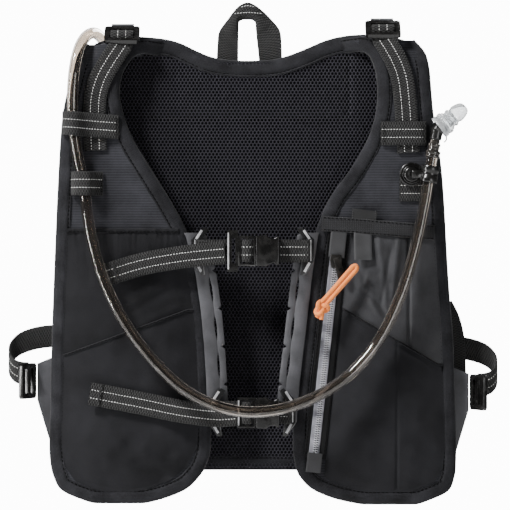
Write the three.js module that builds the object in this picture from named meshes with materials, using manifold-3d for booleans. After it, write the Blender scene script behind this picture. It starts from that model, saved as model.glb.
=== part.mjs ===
// Hydration pack (vest-style harness with a rear bladder compartment), hanging upright from its loop.
// Millimetres. +X is right as seen from the harness side, +Z is up, -Y faces the viewer of the harness.
// The origin is the inside top of the hang loop.
import * as THREE from "three";
import { mergeVertices } from "three/addons/utils/BufferGeometryUtils.js";
import Module from "manifold-3d";

const wasm = await Module();
wasm.setup();

// ---- driving dimensions -------------------------------------------------------------------
const GAP = 0.3;                       // air kept between pieces that touch
const WEB = 20;                        // width of the strap webbing
const WEB_T = 1.6;                     // its thickness
const LOOP_T = 2;                      // hang loop thickness, centred on Y = 0

const BACK_FRONT_Y = -9.3;             // mesh back panel, face against the wearer
const BACK_REAR_Y = -1.3;
const BACK_HALF = 150;
const BACK_BOTTOM = -397;

const SHELL_RIM_Y = -1;                // rear shell, a dish of coated fabric
const SHELL_WALL = 1.6;
const SHELL_DEPTH = 60;
const SHELL_TOP = -45;
const SHELL_BOTTOM = -388;
const SHELL_HALF = 130;
const SHELL_TOP_ROUND = 16;            // how far in from the rim the dish reaches its full depth
const SHELL_SIDE_ROUND = 30;

const PANEL_T = 8;                     // front panels, foam and fabric
const PANEL_FRONT_Y = -31.3;
const POCKET_T = 1.4;
const POCKET_BULGE = 8;
const BINDING = 12;                    // width of the bound edge that pockets stop at

const RAIL_T = 2;
const RAIL_PITCH = 33.2;
const RAIL_SLOT = 1.8;                 // half the width of a rail's slots
const RAIL_Y = PANEL_FRONT_Y - GAP;    // rear face of the hook rails
const HOOK_T = 4.6;
const HOOK_Y = RAIL_Y - RAIL_T - GAP;  // rear face of the hooks
const STRAP_Y = HOOK_Y - HOOK_T - 1.4; // rear face of the chest webbing

const BUCKLE_T = 9;
const BUCKLE_Y = -41;                  // rear face of the buckles
const UPPER_Z = -203;
const LOWER_Z = -344;

const HOSE_R = 5;
const HOSE_SIDES = 10;
const HOSE_STEPS = 62;

const ZIP_TOP = [73, -208];
const ZIP_BOTTOM = [54, -384];
const ZIP_TAPE = 19;
const ZIP_T = 1;
const ZIP_COIL = 7;
const ZIP_COIL_T = 2.2;

// ---- colours ------------------------------------------------------------------------------
const paint = (color, roughness, metalness = 0) => ({ color, roughness, metalness });
const FINISH = {
  fabric: paint(0x1b1c1f, 0.9),
  stretch: paint(0x232427, 0.85),
  mesh: paint(0x121214, 0.95),
  webbing: paint(0x1f1f1f, 0.85),
  hypalon: paint(0x3a3a3d, 0.75),
  acetal: paint(0x1a1a1a, 0.35),
  hose: paint(0x8a8078, 0.15),
  silicone: paint(0xe6edf2, 0.25),
  smoke: paint(0x4a463f, 0.2),
  zip: paint(0xb9bcc4, 0.4),
  slider: paint(0x17150f, 0.4, 0.6),
  cord: paint(0xf08a4b, 0.8),
  bladder: paint(0x9fc4d8, 0.3),
  cap: paint(0x2c2f33, 0.4),
};

// ---- small tools --------------------------------------------------------------------------
const pack = new THREE.Group();
const lerp = THREE.MathUtils.lerp;
const clamp01 = (t) => Math.min(1, Math.max(0, t));

function bare(geometry) {
  geometry.deleteAttribute("normal");
  geometry.deleteAttribute("uv");
  return mergeVertices(geometry, 1e-4);
}

function part(name, finish, geometry) {
  const solid = bare(geometry);
  solid.computeVertexNormals();
  const mesh = new THREE.Mesh(solid, new THREE.MeshStandardMaterial(FINISH[finish]));
  mesh.name = name;
  pack.add(mesh);
  return mesh;
}

function toSolid(geometry) {
  const merged = bare(geometry.clone());
  const vertProperties = new Float32Array(merged.attributes.position.array);
  const triVerts = new Uint32Array(merged.index.array);
  return new wasm.Manifold(new wasm.Mesh({ numProp: 3, vertProperties, triVerts }));
}

function toGeometry(solid) {
  const mesh = solid.getMesh();
  const geometry = new THREE.BufferGeometry();
  geometry.setAttribute("position", new THREE.BufferAttribute(new Float32Array(mesh.vertProperties), 3));
  geometry.setIndex(new THREE.BufferAttribute(new Uint32Array(mesh.triVerts), 1));
  return geometry;
}

const join = (...pieces) => toGeometry(pieces.map(toSolid).reduce((a, b) => a.add(b)));
const cut = (piece, ...tools) => toGeometry(tools.map(toSolid).reduce((a, b) => a.subtract(b), toSolid(piece)));

// A smooth value through [key, value] pairs whose keys fall or rise steadily.
function through(pairs, key) {
  const sign = pairs[1][0] > pairs[0][0] ? 1 : -1;
  const last = pairs.length - 1;
  if (sign * key <= sign * pairs[0][0]) return pairs[0][1];
  if (sign * key >= sign * pairs[last][0]) return pairs[last][1];
  let i = 0;
  while (sign * key > sign * pairs[i + 1][0]) i += 1;
  const slope = (a, b) => (pairs[b][1] - pairs[a][1]) / (pairs[b][0] - pairs[a][0]);
  const span = pairs[i + 1][0] - pairs[i][0];
  const startSlope = slope(Math.max(0, i - 1), i + 1) * span;
  const endSlope = slope(i, Math.min(last, i + 2)) * span;
  const t = (key - pairs[i][0]) / span;
  const rise = pairs[i + 1][1] - pairs[i][1];
  const bend = 3 * rise - 2 * startSlope - endSlope;
  const twist = startSlope + endSlope - 2 * rise;
  return pairs[i][1] + t * (startSlope + t * (bend + t * twist));
}

// A block of cols x rows cells, warped: place(across, down, back) gives [x, y, z], each input 0..1.
function slab(cols, rows, place) {
  const block = bare(new THREE.BoxGeometry(1, 1, 1, cols, 1, rows));
  const spots = block.attributes.position;
  for (let i = 0; i < spots.count; i += 1) {
    const at = place(spots.getX(i) + 0.5, 0.5 - spots.getZ(i), spots.getY(i) + 0.5);
    spots.setXYZ(i, ...at);
  }
  return block;
}

const crowd = (t) => (1 - Math.cos(Math.PI * t)) / 2;   // crowds rows towards both ends

// An outline always runs anticlockwise, which keeps the holes cut in it turned the right way.
function outline(points, holes = []) {
  const edge = points.map(([a, b]) => new THREE.Vector2(a, b));
  if (THREE.ShapeUtils.isClockWise(edge)) edge.reverse();
  const shape = new THREE.Shape(edge);
  for (const hole of holes) shape.holes.push(new THREE.Path(hole.map(([a, b]) => new THREE.Vector2(a, b))));
  return shape;
}

function extrude(shape, depth) {
  return bare(new THREE.ExtrudeGeometry(shape, { depth, bevelEnabled: false, curveSegments: 6 }));
}

// Turns an extrusion drawn in X-Z so that its thickness runs from Y = rear towards the viewer.
function facing(geometry, rear) {
  const basis = new THREE.Matrix4().makeBasis(
    new THREE.Vector3(1, 0, 0), new THREE.Vector3(0, 0, 1), new THREE.Vector3(0, -1, 0));
  return geometry.applyMatrix4(basis).translate(0, rear, 0);
}

// Turns an extrusion drawn in Y-Z so that its depth runs along +X from X = start.
function sideways(geometry, start) {
  const basis = new THREE.Matrix4().makeBasis(
    new THREE.Vector3(0, 1, 0), new THREE.Vector3(0, 0, 1), new THREE.Vector3(1, 0, 0));
  return geometry.applyMatrix4(basis).translate(start, 0, 0);
}

// The outline of a strip of even width that follows a line of points.
function strip(points, width) {
  const line = points.map(([a, b]) => new THREE.Vector2(a, b));
  const sides = [[], []];
  line.forEach((spot, i) => {
    const before = line[Math.max(0, i - 1)];
    const after = line[Math.min(line.length - 1, i + 1)];
    const along = after.clone().sub(before).normalize();
    const normal = new THREE.Vector2(-along.y, along.x).multiplyScalar(width / 2);
    sides[0].push(spot.clone().sub(normal));
    sides[1].unshift(spot.clone().add(normal));
  });
  return new THREE.Shape([...sides[0], ...sides[1]]);
}

// A strip through a few points, smoothed by a spline first.
function smoothStrip(points, width, steps) {
  const curve = new THREE.SplineCurve(points.map(([a, b]) => new THREE.Vector2(a, b)));
  return strip(curve.getSpacedPoints(steps).map((p) => [p.x, p.y]), width);
}

// Webbing laid along a curve in X-Z; rear(x, z) is where its back face lies.
function laidWebbing(points, steps, rear) {
  const curve = new THREE.SplineCurve(points.map(([a, b]) => new THREE.Vector2(a, b)));
  return slab(2, steps, (across, down, back) => {
    const spot = curve.getPointAt(down);
    const along = curve.getTangentAt(down);
    const x = spot.x - along.y * (across - 0.5) * WEB;
    const z = spot.y + along.x * (across - 0.5) * WEB;
    return [x, rear(x, z) - WEB_T * (1 - back), z];
  });
}

function bend(geometry, move) {
  const spots = geometry.attributes.position;
  for (let i = 0; i < spots.count; i += 1) {
    spots.setXYZ(i, ...move(spots.getX(i), spots.getY(i), spots.getZ(i)));
  }
  return geometry;
}

function box(low, high) {
  const size = high.map((v, i) => v - low[i]);
  const middle = high.map((v, i) => (v + low[i]) / 2);
  return bare(new THREE.BoxGeometry(...size)).translate(...middle);
}

// A turned piece: [radius, height] pairs along an axis from a point in a direction.
function turned(profile, from, direction, sides = 20) {
  const points = profile.map(([r, h]) => new THREE.Vector2(r, h));
  const geometry = bare(new THREE.LatheGeometry(points, sides));
  const turn = new THREE.Quaternion().setFromUnitVectors(
    new THREE.Vector3(0, 1, 0), new THREE.Vector3(...direction).normalize());
  return geometry.applyQuaternion(turn).translate(...from);
}

function rod(radius, from, to, sides = 16) {
  const reach = new THREE.Vector3(...to).sub(new THREE.Vector3(...from));
  const profile = [[0, 0], [radius, 0], [radius, reach.length()], [0, reach.length()]];
  return turned(profile, from, reach.toArray(), sides);
}

// ---- front panels -------------------------------------------------------------------------
// Edges as [z, x] pairs from the shoulder down.
const LEFT_OUTER = [[-21, -146], [-30, -153], [-50, -159], [-80, -166], [-132, -170], [-198, -173],
  [-281, -176], [-333, -177], [-380, -178], [-402, -174], [-416, -163], [-424, -140]];
const LEFT_INNER = [[-21, -93], [-32, -106], [-47, -115.5], [-62, -118], [-80, -115.5], [-103, -107],
  [-132, -90], [-161, -72], [-190, -57], [-228, -47.5], [-285, -41], [-333, -38.5], [-372, -38],
  [-392, -42], [-408, -55], [-418, -72], [-424, -95]];
const RIGHT_OUTER = [[-17, 142], [-28, 151], [-40, 154], [-84, 158], [-132, 165], [-193, 169],
  [-237, 171.5], [-281, 175], [-316, 176], [-368, 177.5], [-399, 176.5], [-415, 169], [-425, 145]];
const RIGHT_INNER = [[-17, 89], [-27, 100.5], [-37, 106], [-50, 109], [-70, 110], [-92, 106],
  [-115, 97], [-145, 77], [-167, 62], [-195, 54], [-225, 50], [-285, 43], [-333, 37.6], [-377, 36],
  [-399, 41], [-412, 53], [-421, 76], [-425, 96]];
// How far forward the panel's face stands near the shoulder, as [z, y].
const SHOULDER = [[-14, -18.3], [-22, -20.6], [-30, -25], [-42, -29.3], [-60, PANEL_FRONT_Y]];
const panelFront = (z) => through(SHOULDER, z);

function frontPanel(outer, inner) {
  const top = outer[0][0];
  const bottom = outer[outer.length - 1][0];
  return slab(6, 20, (across, down, back) => {
    const z = lerp(top, bottom, crowd(down));
    const edges = [through(outer, z), through(inner, z)].sort((a, b) => a - b);
    return [lerp(edges[0], edges[1], across), panelFront(z) + back * PANEL_T, z];
  });
}

// A pocket is a sheet sewn to the panel at its sides and bottom, standing off at its mouth.
function pocket(top, bottom, leftAt, rightAt) {
  return slab(8, 8, (across, down, back) => {
    const z = lerp(top, bottom, down);
    const x = lerp(leftAt(z), rightAt(z), crowd(across));
    const sides = 1 - (2 * crowd(across) - 1) ** 4;
    const foot = 1 - clamp01((down - 0.55) / 0.45) ** 2;
    const rear = PANEL_FRONT_Y - GAP - POCKET_BULGE * sides * foot;
    return [x, rear - POCKET_T * (1 - back), z];
  });
}

function frontPanels() {
  part("left_front_panel", "fabric", frontPanel(LEFT_OUTER, LEFT_INNER));
  part("right_front_panel", "fabric", frontPanel(RIGHT_OUTER, RIGHT_INNER));
  const leftSide = (z) => through(LEFT_OUTER, z) + BINDING;
  const leftInside = (z) => through(LEFT_INNER, z) - BINDING;
  const rightInside = (z) => zipX(z) + ZIP_TAPE / 2 + 1;
  const rightSide = (z) => through(RIGHT_OUTER, z) - BINDING;
  part("left_upper_pocket", "stretch", pocket(-186, -277, leftSide, leftInside));
  part("left_lower_pocket", "fabric", pocket(-279, -408, leftSide, leftInside));
  part("right_upper_pocket", "stretch", pocket(-181, -275, rightInside, rightSide));
  part("right_lower_pocket", "fabric", pocket(-277, -409, rightInside, rightSide));
}

// ---- back panel, rear shell and what it holds ---------------------------------------------
const COLLAR = [[-150, -19], [-120, -15], [-90, -17], [-60, -25], [-31, -33], [0, -35],
  [31, -32], [60, -24], [90, -14], [120, -12], [150, -19]];

function backPanel() {
  const sides = [[0, 148], [0.3, 146], [0.6, BACK_HALF], [0.93, 146], [1, 136]];
  const geometry = slab(12, 8, (across, down, back) => {
    const x = (2 * crowd(across) - 1) * through(sides, down);
    const z = lerp(through(COLLAR, x), BACK_BOTTOM, down);
    return [x, lerp(BACK_FRONT_Y, BACK_REAR_Y, back), z];
  });
  part("back_panel", "mesh", geometry);
}

const roundIn = (distance, reach) => 1 - (1 - clamp01(distance / reach)) ** 2;

function shellRise(x, z) {
  const side = roundIn(SHELL_HALF - Math.abs(x), SHELL_SIDE_ROUND);
  const top = roundIn(SHELL_TOP - z, SHELL_TOP_ROUND);
  const foot = roundIn(z - SHELL_BOTTOM, SHELL_SIDE_ROUND);
  return SHELL_DEPTH * side * top * foot;
}

// The hose leaves the shell here, in this direction.
const PORT = [-113, 42.8, -55];
const PORT_AXIS = [-0.42, -0.09, 0.9];

function rearShell() {
  const dish = slab(14, 16, (across, down, back) => {
    const x = (2 * crowd(across) - 1) * SHELL_HALF;
    const z = lerp(SHELL_TOP, SHELL_BOTTOM, crowd(down));
    return [x, SHELL_RIM_Y + shellRise(x, z) + back * SHELL_WALL, z];
  });
  const reach = new THREE.Vector3(...PORT_AXIS).setLength(22);
  const from = new THREE.Vector3(...PORT).sub(reach);
  const to = new THREE.Vector3(...PORT).add(reach);
  part("rear_shell", "fabric", cut(dish, rod(7.2, from.toArray(), to.toArray(), 14)));
}

const STASH_HALF = 96;
const STASH_TOP = -232;
const STASH_BOTTOM = -354;
const STASH_BULGE = 8;

function stashPocket() {
  const rear = SHELL_RIM_Y + SHELL_DEPTH + SHELL_WALL + GAP;
  const geometry = slab(8, 6, (across, down, back) => {
    const x = (2 * crowd(across) - 1) * STASH_HALF;
    const z = lerp(STASH_TOP, STASH_BOTTOM, down);
    const rise = roundIn(STASH_HALF - Math.abs(x), 30) * roundIn(z - STASH_BOTTOM, 24);
    return [x, rear + STASH_BULGE * rise + back * POCKET_T, z];
  });
  part("rear_stash_pocket", "stretch", geometry);
}

const REAR_ZIP_Z = -150;
const REAR_ZIP_HALF = 92;
const SHELL_FACE_Y = SHELL_RIM_Y + SHELL_DEPTH + SHELL_WALL;

function rearZip() {
  const tape = box([-REAR_ZIP_HALF, SHELL_FACE_Y + GAP, REAR_ZIP_Z - 10],
    [REAR_ZIP_HALF, SHELL_FACE_Y + GAP + ZIP_T, REAR_ZIP_Z + 10]);
  const coil = box([-REAR_ZIP_HALF + 2, SHELL_FACE_Y + GAP + ZIP_T / 2, REAR_ZIP_Z - ZIP_COIL / 2],
    [REAR_ZIP_HALF - 2, SHELL_FACE_Y + GAP + ZIP_COIL_T, REAR_ZIP_Z + ZIP_COIL / 2]);
  part("rear_zip_tape", "zip", join(tape, coil));
  const face = SHELL_FACE_Y + 2 * GAP + ZIP_COIL_T;
  const x = REAR_ZIP_HALF - 10;
  const slider = extrude(outline([[-6, -4], [-2, -5.5], [6, -4], [6, 4], [-2, 5.5], [-6, 4]]), 3.4);
  part("rear_zip_slider", "slider", facing(slider, face + 3.4).translate(x, 0, REAR_ZIP_Z));
  const pull = extrude(outline([[-3, 2.5], [3, 2.5], [4, -30], [2, -33], [-2, -33], [-4, -30]]), 2.4);
  part("rear_zip_pull", "cord", facing(pull, face + 6.1).translate(x, 0, REAR_ZIP_Z));
}

const CAP_AT = [0, -135];

function reservoir() {
  const pillow = slab(10, 12, (across, down, back) => {
    const x = (2 * crowd(across) - 1) * 78;
    const z = lerp(-85, -336, crowd(down));
    const swell = roundIn(78 - Math.abs(x), 40) * roundIn(-85 - z, 60) * roundIn(z + 336, 40);
    return [x, 15 + (back - 0.5) * (2 + 22 * swell), z];
  });
  const neck = rod(33, [CAP_AT[0], 20, CAP_AT[1]], [CAP_AT[0], 33, CAP_AT[1]], 24);
  const outlet = rod(9, [-8, 22, -318], [-8, 34, -318], 14);
  part("reservoir", "bladder", join(pillow, neck, outlet));
  const lid = rod(30, [CAP_AT[0], 33 + GAP, CAP_AT[1]], [CAP_AT[0], 40, CAP_AT[1]], 24);
  const grip = box([-24, 39, CAP_AT[1] - 4], [24, 46, CAP_AT[1] + 4]);
  part("reservoir_cap", "cap", join(lid, grip));
}

// The quick connector lies behind the outlet and points up and left to the hose.
const CONNECT_AXIS = [-0.55, 0, 0.835];
const CONNECT_MID = [-8, 43.5, -318];
const spotOn = (middle, axis, reach) =>
  new THREE.Vector3(...axis).setLength(1).multiplyScalar(reach).add(new THREE.Vector3(...middle)).toArray();

function quickConnect() {
  const barrel = rod(8, spotOn(CONNECT_MID, CONNECT_AXIS, -13), spotOn(CONNECT_MID, CONNECT_AXIS, 12), 16);
  const stem = rod(6, [-8, 34 + GAP, -318], [-8, 40, -318], 14);
  const well = rod(4.4, [-8, 47, -318], [-8, 56, -318], 14);
  part("quick_connect", "acetal", cut(join(barrel, stem), well));
  part("quick_connect_button", "hypalon", rod(4, [-8, 48.8, -318], [-8, 53, -318], 14));
}

// ---- hose and bite valve ------------------------------------------------------------------
// From the quick connector up inside the shell, out of the port, over the left shoulder,
// down under the two keepers, across the front in a long bow and up to the clip on the right.
const HOSE = [
  [-14.8, 43.5, -307.7], [-27, 43.5, -289], [-47, 43.5, -257], [-68, 43.5, -217], [-85, 43.5, -170],
  [-95, 43.5, -122], [-101.5, 43.6, -88], [-106.5, 43.6, -71], [-113, 42.8, -55], [-120.5, 40.6, -38.6],
  [-129, 32.2, -22.5], [-135.5, 18, -12.8], [-141, 0.7, -9], [-147, -15.5, -13], [-152, -29.5, -23.6],
  [-155.5, -37, -39], [-157.4, -38.6, -57], [-158, -38, -79], [-157, -37.8, -95], [-154.8, -37.8, -112],
  [-150.5, -37.8, -134], [-146.6, -38.4, -156], [-144, -43.2, -175], [-139, -47.8, -199], [-131, -51, -225],
  [-115, -53, -259], [-90, -56.5, -294], [-59.5, -60, -323], [-29, -61.5, -338], [-2, -62, -342.5],
  [28, -62, -339], [58.6, -61, -327], [86, -58, -308], [109, -54, -281], [128.6, -50, -241],
  [142, -46, -198], [149.6, -43, -163], [154.2, -41, -136], [156.6, -40.4, -121.5],
];
const VALVE_FOOT = HOSE[HOSE.length - 1];
const VALVE_AXIS = [0.172, 0.02, 0.985];
const BITE_AXIS = [0.774, 0, 0.633];

function hose() {
  const path = new THREE.CatmullRomCurve3(HOSE.map((p) => new THREE.Vector3(...p)), false, "centripetal");
  const round = new THREE.Shape();
  round.absarc(0, 0, HOSE_R, 0, Math.PI * 2);
  const geometry = new THREE.ExtrudeGeometry(round,
    { steps: HOSE_STEPS, curveSegments: HOSE_SIDES / 2, extrudePath: path });
  part("hose", "hose", geometry);
  const ring = [[5.5, -4], [6.9, -4], [6.9, 3], [8.4, 3.6], [8.4, 5], [5.5, 5], [5.5, -4]];
  part("hose_port", "hypalon", turned(ring, PORT, PORT_AXIS, 16));
}

function biteValve() {
  const foot = spotOn(VALVE_FOOT, VALVE_AXIS, GAP);
  const barrel = [[0, 0], [6.2, 0], [6.2, 5.6], [4.6, 6.4], [4.6, 9.4], [5.3, 9.9], [5.3, 12],
    [4.2, 12.6], [4.2, 15.4], [0, 15.4]];
  part("valve_barrel", "smoke", turned(barrel, foot, VALVE_AXIS, 16));
  const elbowFoot = spotOn(foot, VALVE_AXIS, 15.4 + GAP);
  const bendAt = spotOn(elbowFoot, VALVE_AXIS, 9);
  const riser = turned([[0, 0], [5, 0], [5.4, 9], [3, 12.4], [0, 13.4]], elbowFoot, VALVE_AXIS, 16);
  const cone = turned([[0, -4], [4, -3.4], [6.4, 1], [8, 7], [8, 8.6], [0, 8.6]], bendAt, BITE_AXIS, 16);
  part("bite_valve_elbow", "acetal", join(riser, cone));
  const biteFoot = spotOn(bendAt, BITE_AXIS, 8.6 + GAP);
  const bite = [[0, 0], [8.8, 0], [8.8, 3.4], [7.4, 4.2], [7.4, 5.6], [8.2, 6.4], [8.2, 8.4], [6.8, 9.4],
    [6.8, 11], [7.6, 12], [7.4, 18], [6, 21.4], [3.4, 23], [0, 23.2]];
  part("bite_piece", "silicone", turned(bite, biteFoot, BITE_AXIS, 20));
  shutoffLever(elbowFoot);
}

function shutoffLever(elbowFoot) {
  const arc = new THREE.EllipseCurve(0, 0, 3.4, 3.6, -1.25, 1.25);
  const wire = extrude(strip(arc.getSpacedPoints(10).map((p) => [p.x, p.y]), 1.1), 2.2);
  const lever = facing(wire, 1.1).translate(elbowFoot[0] + 6.3, elbowFoot[1], elbowFoot[2] + 1.2);
  part("shutoff_lever", "acetal", lever);
}

// The clip that parks the hose end: a stepped magnetic base on the panel with an arm and a sleeve.
function hoseClip() {
  const foot = [139, PANEL_FRONT_Y - WEB_T - 3 * GAP, -136];
  const steps = [[0, 0], [10.4, 0], [10.4, 2.6], [8.6, 2.6], [8.6, 4.6], [6.6, 4.6], [6.6, 7], [0, 7]];
  const base = turned(steps, foot, [0, -1, 0], 20);
  const ring = [[HOSE_R + 0.5, -6], [7, -6], [7, 6], [HOSE_R + 0.5, 6], [HOSE_R + 0.5, -6]];
  const sleeve = turned(ring, [154.2, -41, -136], VALVE_AXIS, 18);
  const arm = box([138.5, -44.4, -140], [148.4, -40, -132]);
  part("hose_clip", "acetal", join(base, sleeve, arm));
}

// ---- straps at the shoulders --------------------------------------------------------------
// Rear face of the load-lifter webbing, as [z, y]: it leaves the panel towards the ladder lock.
const LIFTER_Y = [[-20, -27.8], [-30, -29.4], [-42, -31.4], [-58, -32], [-80, PANEL_FRONT_Y - GAP]];
const LEFT_LIFTER = [[-118.5, -27], [-126, -38], [-133.5, -52], [-138, -67], [-139, -85], [-138, -115]];
const RIGHT_LIFTER = [[119.5, -22], [126, -34], [130.5, -50], [133, -67], [134.5, -85], [136.5, -117]];

function loadLifters() {
  const strap = (points) => laidWebbing(points, 10, (x, z) => through(LIFTER_Y, z));
  part("left_load_lifter", "webbing", strap(LEFT_LIFTER));
  part("right_load_lifter", "webbing", strap(RIGHT_LIFTER));
}

const LOCK_SIZE = [31, 23, 4];         // width, length and thickness of a ladder lock
const LEFT_LOCK = [-115.5, -21, -12.6];
const RIGHT_LOCK = [114.5, -21, -7.6];
const LOCK_TILT = 0.66;                // slope of the shoulder locks, radians
const SIDE_LOCK_TURN = -0.47;          // how far the side locks lean out from straight ahead, radians

// A flat frame with two slots for the webbing, drawn across X with its length along Y.
function ladderLock() {
  const [w, l, t] = LOCK_SIZE;
  const slot = (half, y) => [[-half, y - 2.4], [-half, y + 2.4], [half, y + 2.4], [half, y - 2.4]];
  const slots = [slot(11, -4.6), slot(10.8, 4.4)];
  const frame = outline([[-w / 2, 2 - l / 2], [2 - w / 2, -l / 2], [w / 2 - 2, -l / 2], [w / 2, 2 - l / 2],
    [w / 2, l / 2 - 2], [w / 2 - 2, l / 2], [2 - w / 2, l / 2], [-w / 2, l / 2 - 2]], slots);
  return extrude(frame, t).translate(0, 0, -t / 2);
}

function shoulderLocks() {
  const place = (at) => ladderLock().rotateX(LOCK_TILT).translate(...at);
  part("left_shoulder_lock", "acetal", place(LEFT_LOCK));
  part("right_shoulder_lock", "acetal", place(RIGHT_LOCK));
  const anchor = (at) => {
    const path = [[at[1] + 11.8, at[2] + 8.8], [-4.5, at[2] + 9.6], [0.4, at[2] + 5], [1.6, -20], [0.4, -30],
      [0.3, -43]];
    return sideways(extrude(smoothStrip(path, WEB_T, 10), WEB), at[0] - WEB / 2);
  };
  part("left_lock_anchor", "hypalon", anchor(LEFT_LOCK));
  part("right_lock_anchor", "hypalon", anchor(RIGHT_LOCK));
}

// A keeper is a short webbing bridge, drawn as a line in X-Y and as tall as the webbing.
function keeper(points, z, slope = 0) {
  const geometry = extrude(strip(points, 1.5), 21).translate(0, 0, z - 10.5);
  return bend(geometry, (x, y, h) => [x, y, h + (x - points[0][0]) * slope]);
}

function keepers() {
  part("left_upper_keeper", "webbing", keeper([[-166.6, -32.5], [-165.4, -39.6], [-162.4, -43.6], [-157.8, -45],
    [-153, -43.4], [-148.6, -39.4], [-142, -36.4], [-129, -35], [-118, -33]], -91, -0.07));
  part("left_lower_keeper", "webbing", keeper([[-158.8, -32.5], [-157.6, -39], [-155.6, -43], [-152.6, -45],
    [-145.4, -45.2], [-141.4, -43], [-138.6, -38], [-131.8, -32.5]], -144));
  part("right_upper_keeper", "webbing", keeper([[112, -33], [121, -34.8], [134, -35.2], [145, -34.8],
    [151.6, -33]], -100));
  part("right_lower_keeper", "webbing", keeper([[128.5, -32.5], [155, -32.5]], -149));
}

// ---- hook rails, hooks and chest straps ---------------------------------------------------
// A rail runs along a panel's inner edge; toward is +1 where its scalloped side faces +X.
function rail(inner, toward, top, modules) {
  const middle = (z) => through(inner, z) + 7 * toward;
  const sewn = [];
  const scalloped = [];
  const rows = modules * 8;
  for (let i = 0; i <= rows; i += 1) {
    const z = top - (i * RAIL_PITCH) / 8;
    const notch = i % 8 === 0 ? 3.2 : 0;
    const ease = i % 8 === 1 || i % 8 === 7 ? 0.8 : 0;
    sewn.push([middle(z) - 7.6 * toward, z]);
    scalloped.unshift([middle(z) + (8 - notch - ease) * toward, z]);
  }
  const slots = [];
  for (let i = 0; i < modules; i += 1) {
    const high = top - i * RAIL_PITCH - 4.4;
    const low = high - RAIL_PITCH + 8.8;
    slots.push([[middle(high) - RAIL_SLOT, high], [middle(high) + RAIL_SLOT, high],
      [middle(low) + RAIL_SLOT, low], [middle(low) - RAIL_SLOT, low]]);
  }
  return facing(extrude(outline([...sewn, ...scalloped], slots), RAIL_T), RAIL_Y);
}

const RAIL_TOP = -187;
const railSlot = (inner, toward, z) => through(inner, z) + 7 * toward;

// A trapezoid ring that carries the webbing, with a tongue through a rail slot and a bar behind it.
function hook(name, inner, toward, z) {
  const slotX = railSlot(inner, toward, z);
  const ring = [[-7, 19], [-3, 21], [8, 10], [8, -9], [0, -21], [-4, -21], [-2.6, -12], [-2.6, 12]];
  const side = -toward;
  const window = [[1, 11], [4.4, 8.6], [4.4, -8], [1, -11]];
  const turn = ([a, b]) => [a * side, b];
  const shape = outline(ring.map(turn), [window.map(turn)]);
  const frame = facing(extrude(shape, HOOK_T), HOOK_Y).translate(slotX, 0, z);
  const behind = RAIL_Y + GAP;
  const tongue = box([slotX - 0.6, HOOK_Y - 1.2, z - 2.2], [slotX + 0.6, behind + 1, z + 2.2]);
  const bar = box([slotX - 3.4, behind, z - 8], [slotX + 3.4, behind + 1.8, z + 8]);
  part(name, "acetal", join(frame, tongue, bar));
}

function rails() {
  part("left_hook_rail", "hypalon", rail(LEFT_INNER, 1, RAIL_TOP, 5));
  part("right_hook_rail", "hypalon", rail(RIGHT_INNER, -1, RAIL_TOP, 5));
}

// The free end of a chest strap: a strip in X-Z that drapes over the hook and the pocket.
const TAIL_Y = [[-160, -42.3], [-100, -42.4], [-60, -42.6], [-20, -43.4], [-12, -43.8]];
const UPPER_TAIL = [[-24.4, -204.6], [-40, -206], [-63, -208.5], [-97, -214.6], [-127, -223.6]];
const LOWER_TAIL = [[-14.6, -345.6], [-30, -346.6], [-60, -343.4], [-100, -335.4], [-141, -327.6]];

function buckleFemale() {
  const body = outline([[2.6, 13.2], [12, 13.6], [14, 11.6], [18.4, 10.6], [21, 12.6], [22.6, 12.6],
    [22.6, -12.6], [21, -12.6], [18.4, -10.6], [14, -11.6], [12, -13.6], [2.6, -13.2]]);
  const socket = box([0, BUCKLE_Y - 7.2, -10.4], [17.4, BUCKLE_Y - 1.8, 10.4]);
  return cut(facing(extrude(body, BUCKLE_T), BUCKLE_Y), socket);
}

function buckleMale(flange) {
  const slot = (a, b, half) => [[a, half], [b, half], [b, -half], [a, -half]];
  const frame = outline([[-13.4, 13.2], [2.2, 13.2], [2.2, -13.2], [-13.4, -13.2]],
    [slot(-10.4, -6.6, 10.8), slot(-3.4, 0.2, 10.6)]);
  const ladder = facing(extrude(frame, 5), BUCKLE_Y - 2);
  const prong = (side) => facing(extrude(outline([[1.4, 9.8 * side], [1.4, 6 * side], [14.6, 6 * side],
    [16.4, 8 * side], [14.8, 9.8 * side]]), 4.2), BUCKLE_Y - 2.4);
  const guide = facing(extrude(outline([[1.4, -1.6], [15.6, -1.6], [15.6, 1.6], [1.4, 1.6]]), 4.2), BUCKLE_Y - 2.4);
  const pieces = [ladder, prong(1), prong(-1), guide];
  if (flange) {
    const fin = outline([[-22.4, 18.2], [-13, 18.2], [-13, -18.2], [-22.4, -18.2]], [slot(-18.6, -15.4, 10.8)]);
    pieces.push(facing(extrude(fin, 6), BUCKLE_Y - 1.6));
  }
  return join(...pieces);
}

function chestStrap(level, z, tail, flange) {
  hook(`${level}_left_hook`, LEFT_INNER, 1, z);
  hook(`${level}_right_hook`, RIGHT_INNER, -1, z);
  part(`${level}_buckle_female`, "acetal", buckleFemale().translate(0, 0, z));
  part(`${level}_buckle_male`, "acetal", buckleMale(flange).translate(0, 0, z));
  const leftEnd = railSlot(LEFT_INNER, 1, z) - 3;
  const rightEnd = railSlot(RIGHT_INNER, -1, z) + 3;
  const buckleEnd = flange ? -22.4 : -13.4;
  part(`${level}_left_webbing`, "webbing",
    box([leftEnd, STRAP_Y - WEB_T, z - WEB / 2], [buckleEnd - GAP, STRAP_Y, z + WEB / 2]));
  part(`${level}_right_webbing`, "webbing",
    box([22.6 + GAP, STRAP_Y - WEB_T, z - WEB / 2], [rightEnd, STRAP_Y, z + WEB / 2]));
  part(`${level}_strap_tail`, "webbing", laidWebbing(tail, 10, (x) => through(TAIL_Y, x)));
}

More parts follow.
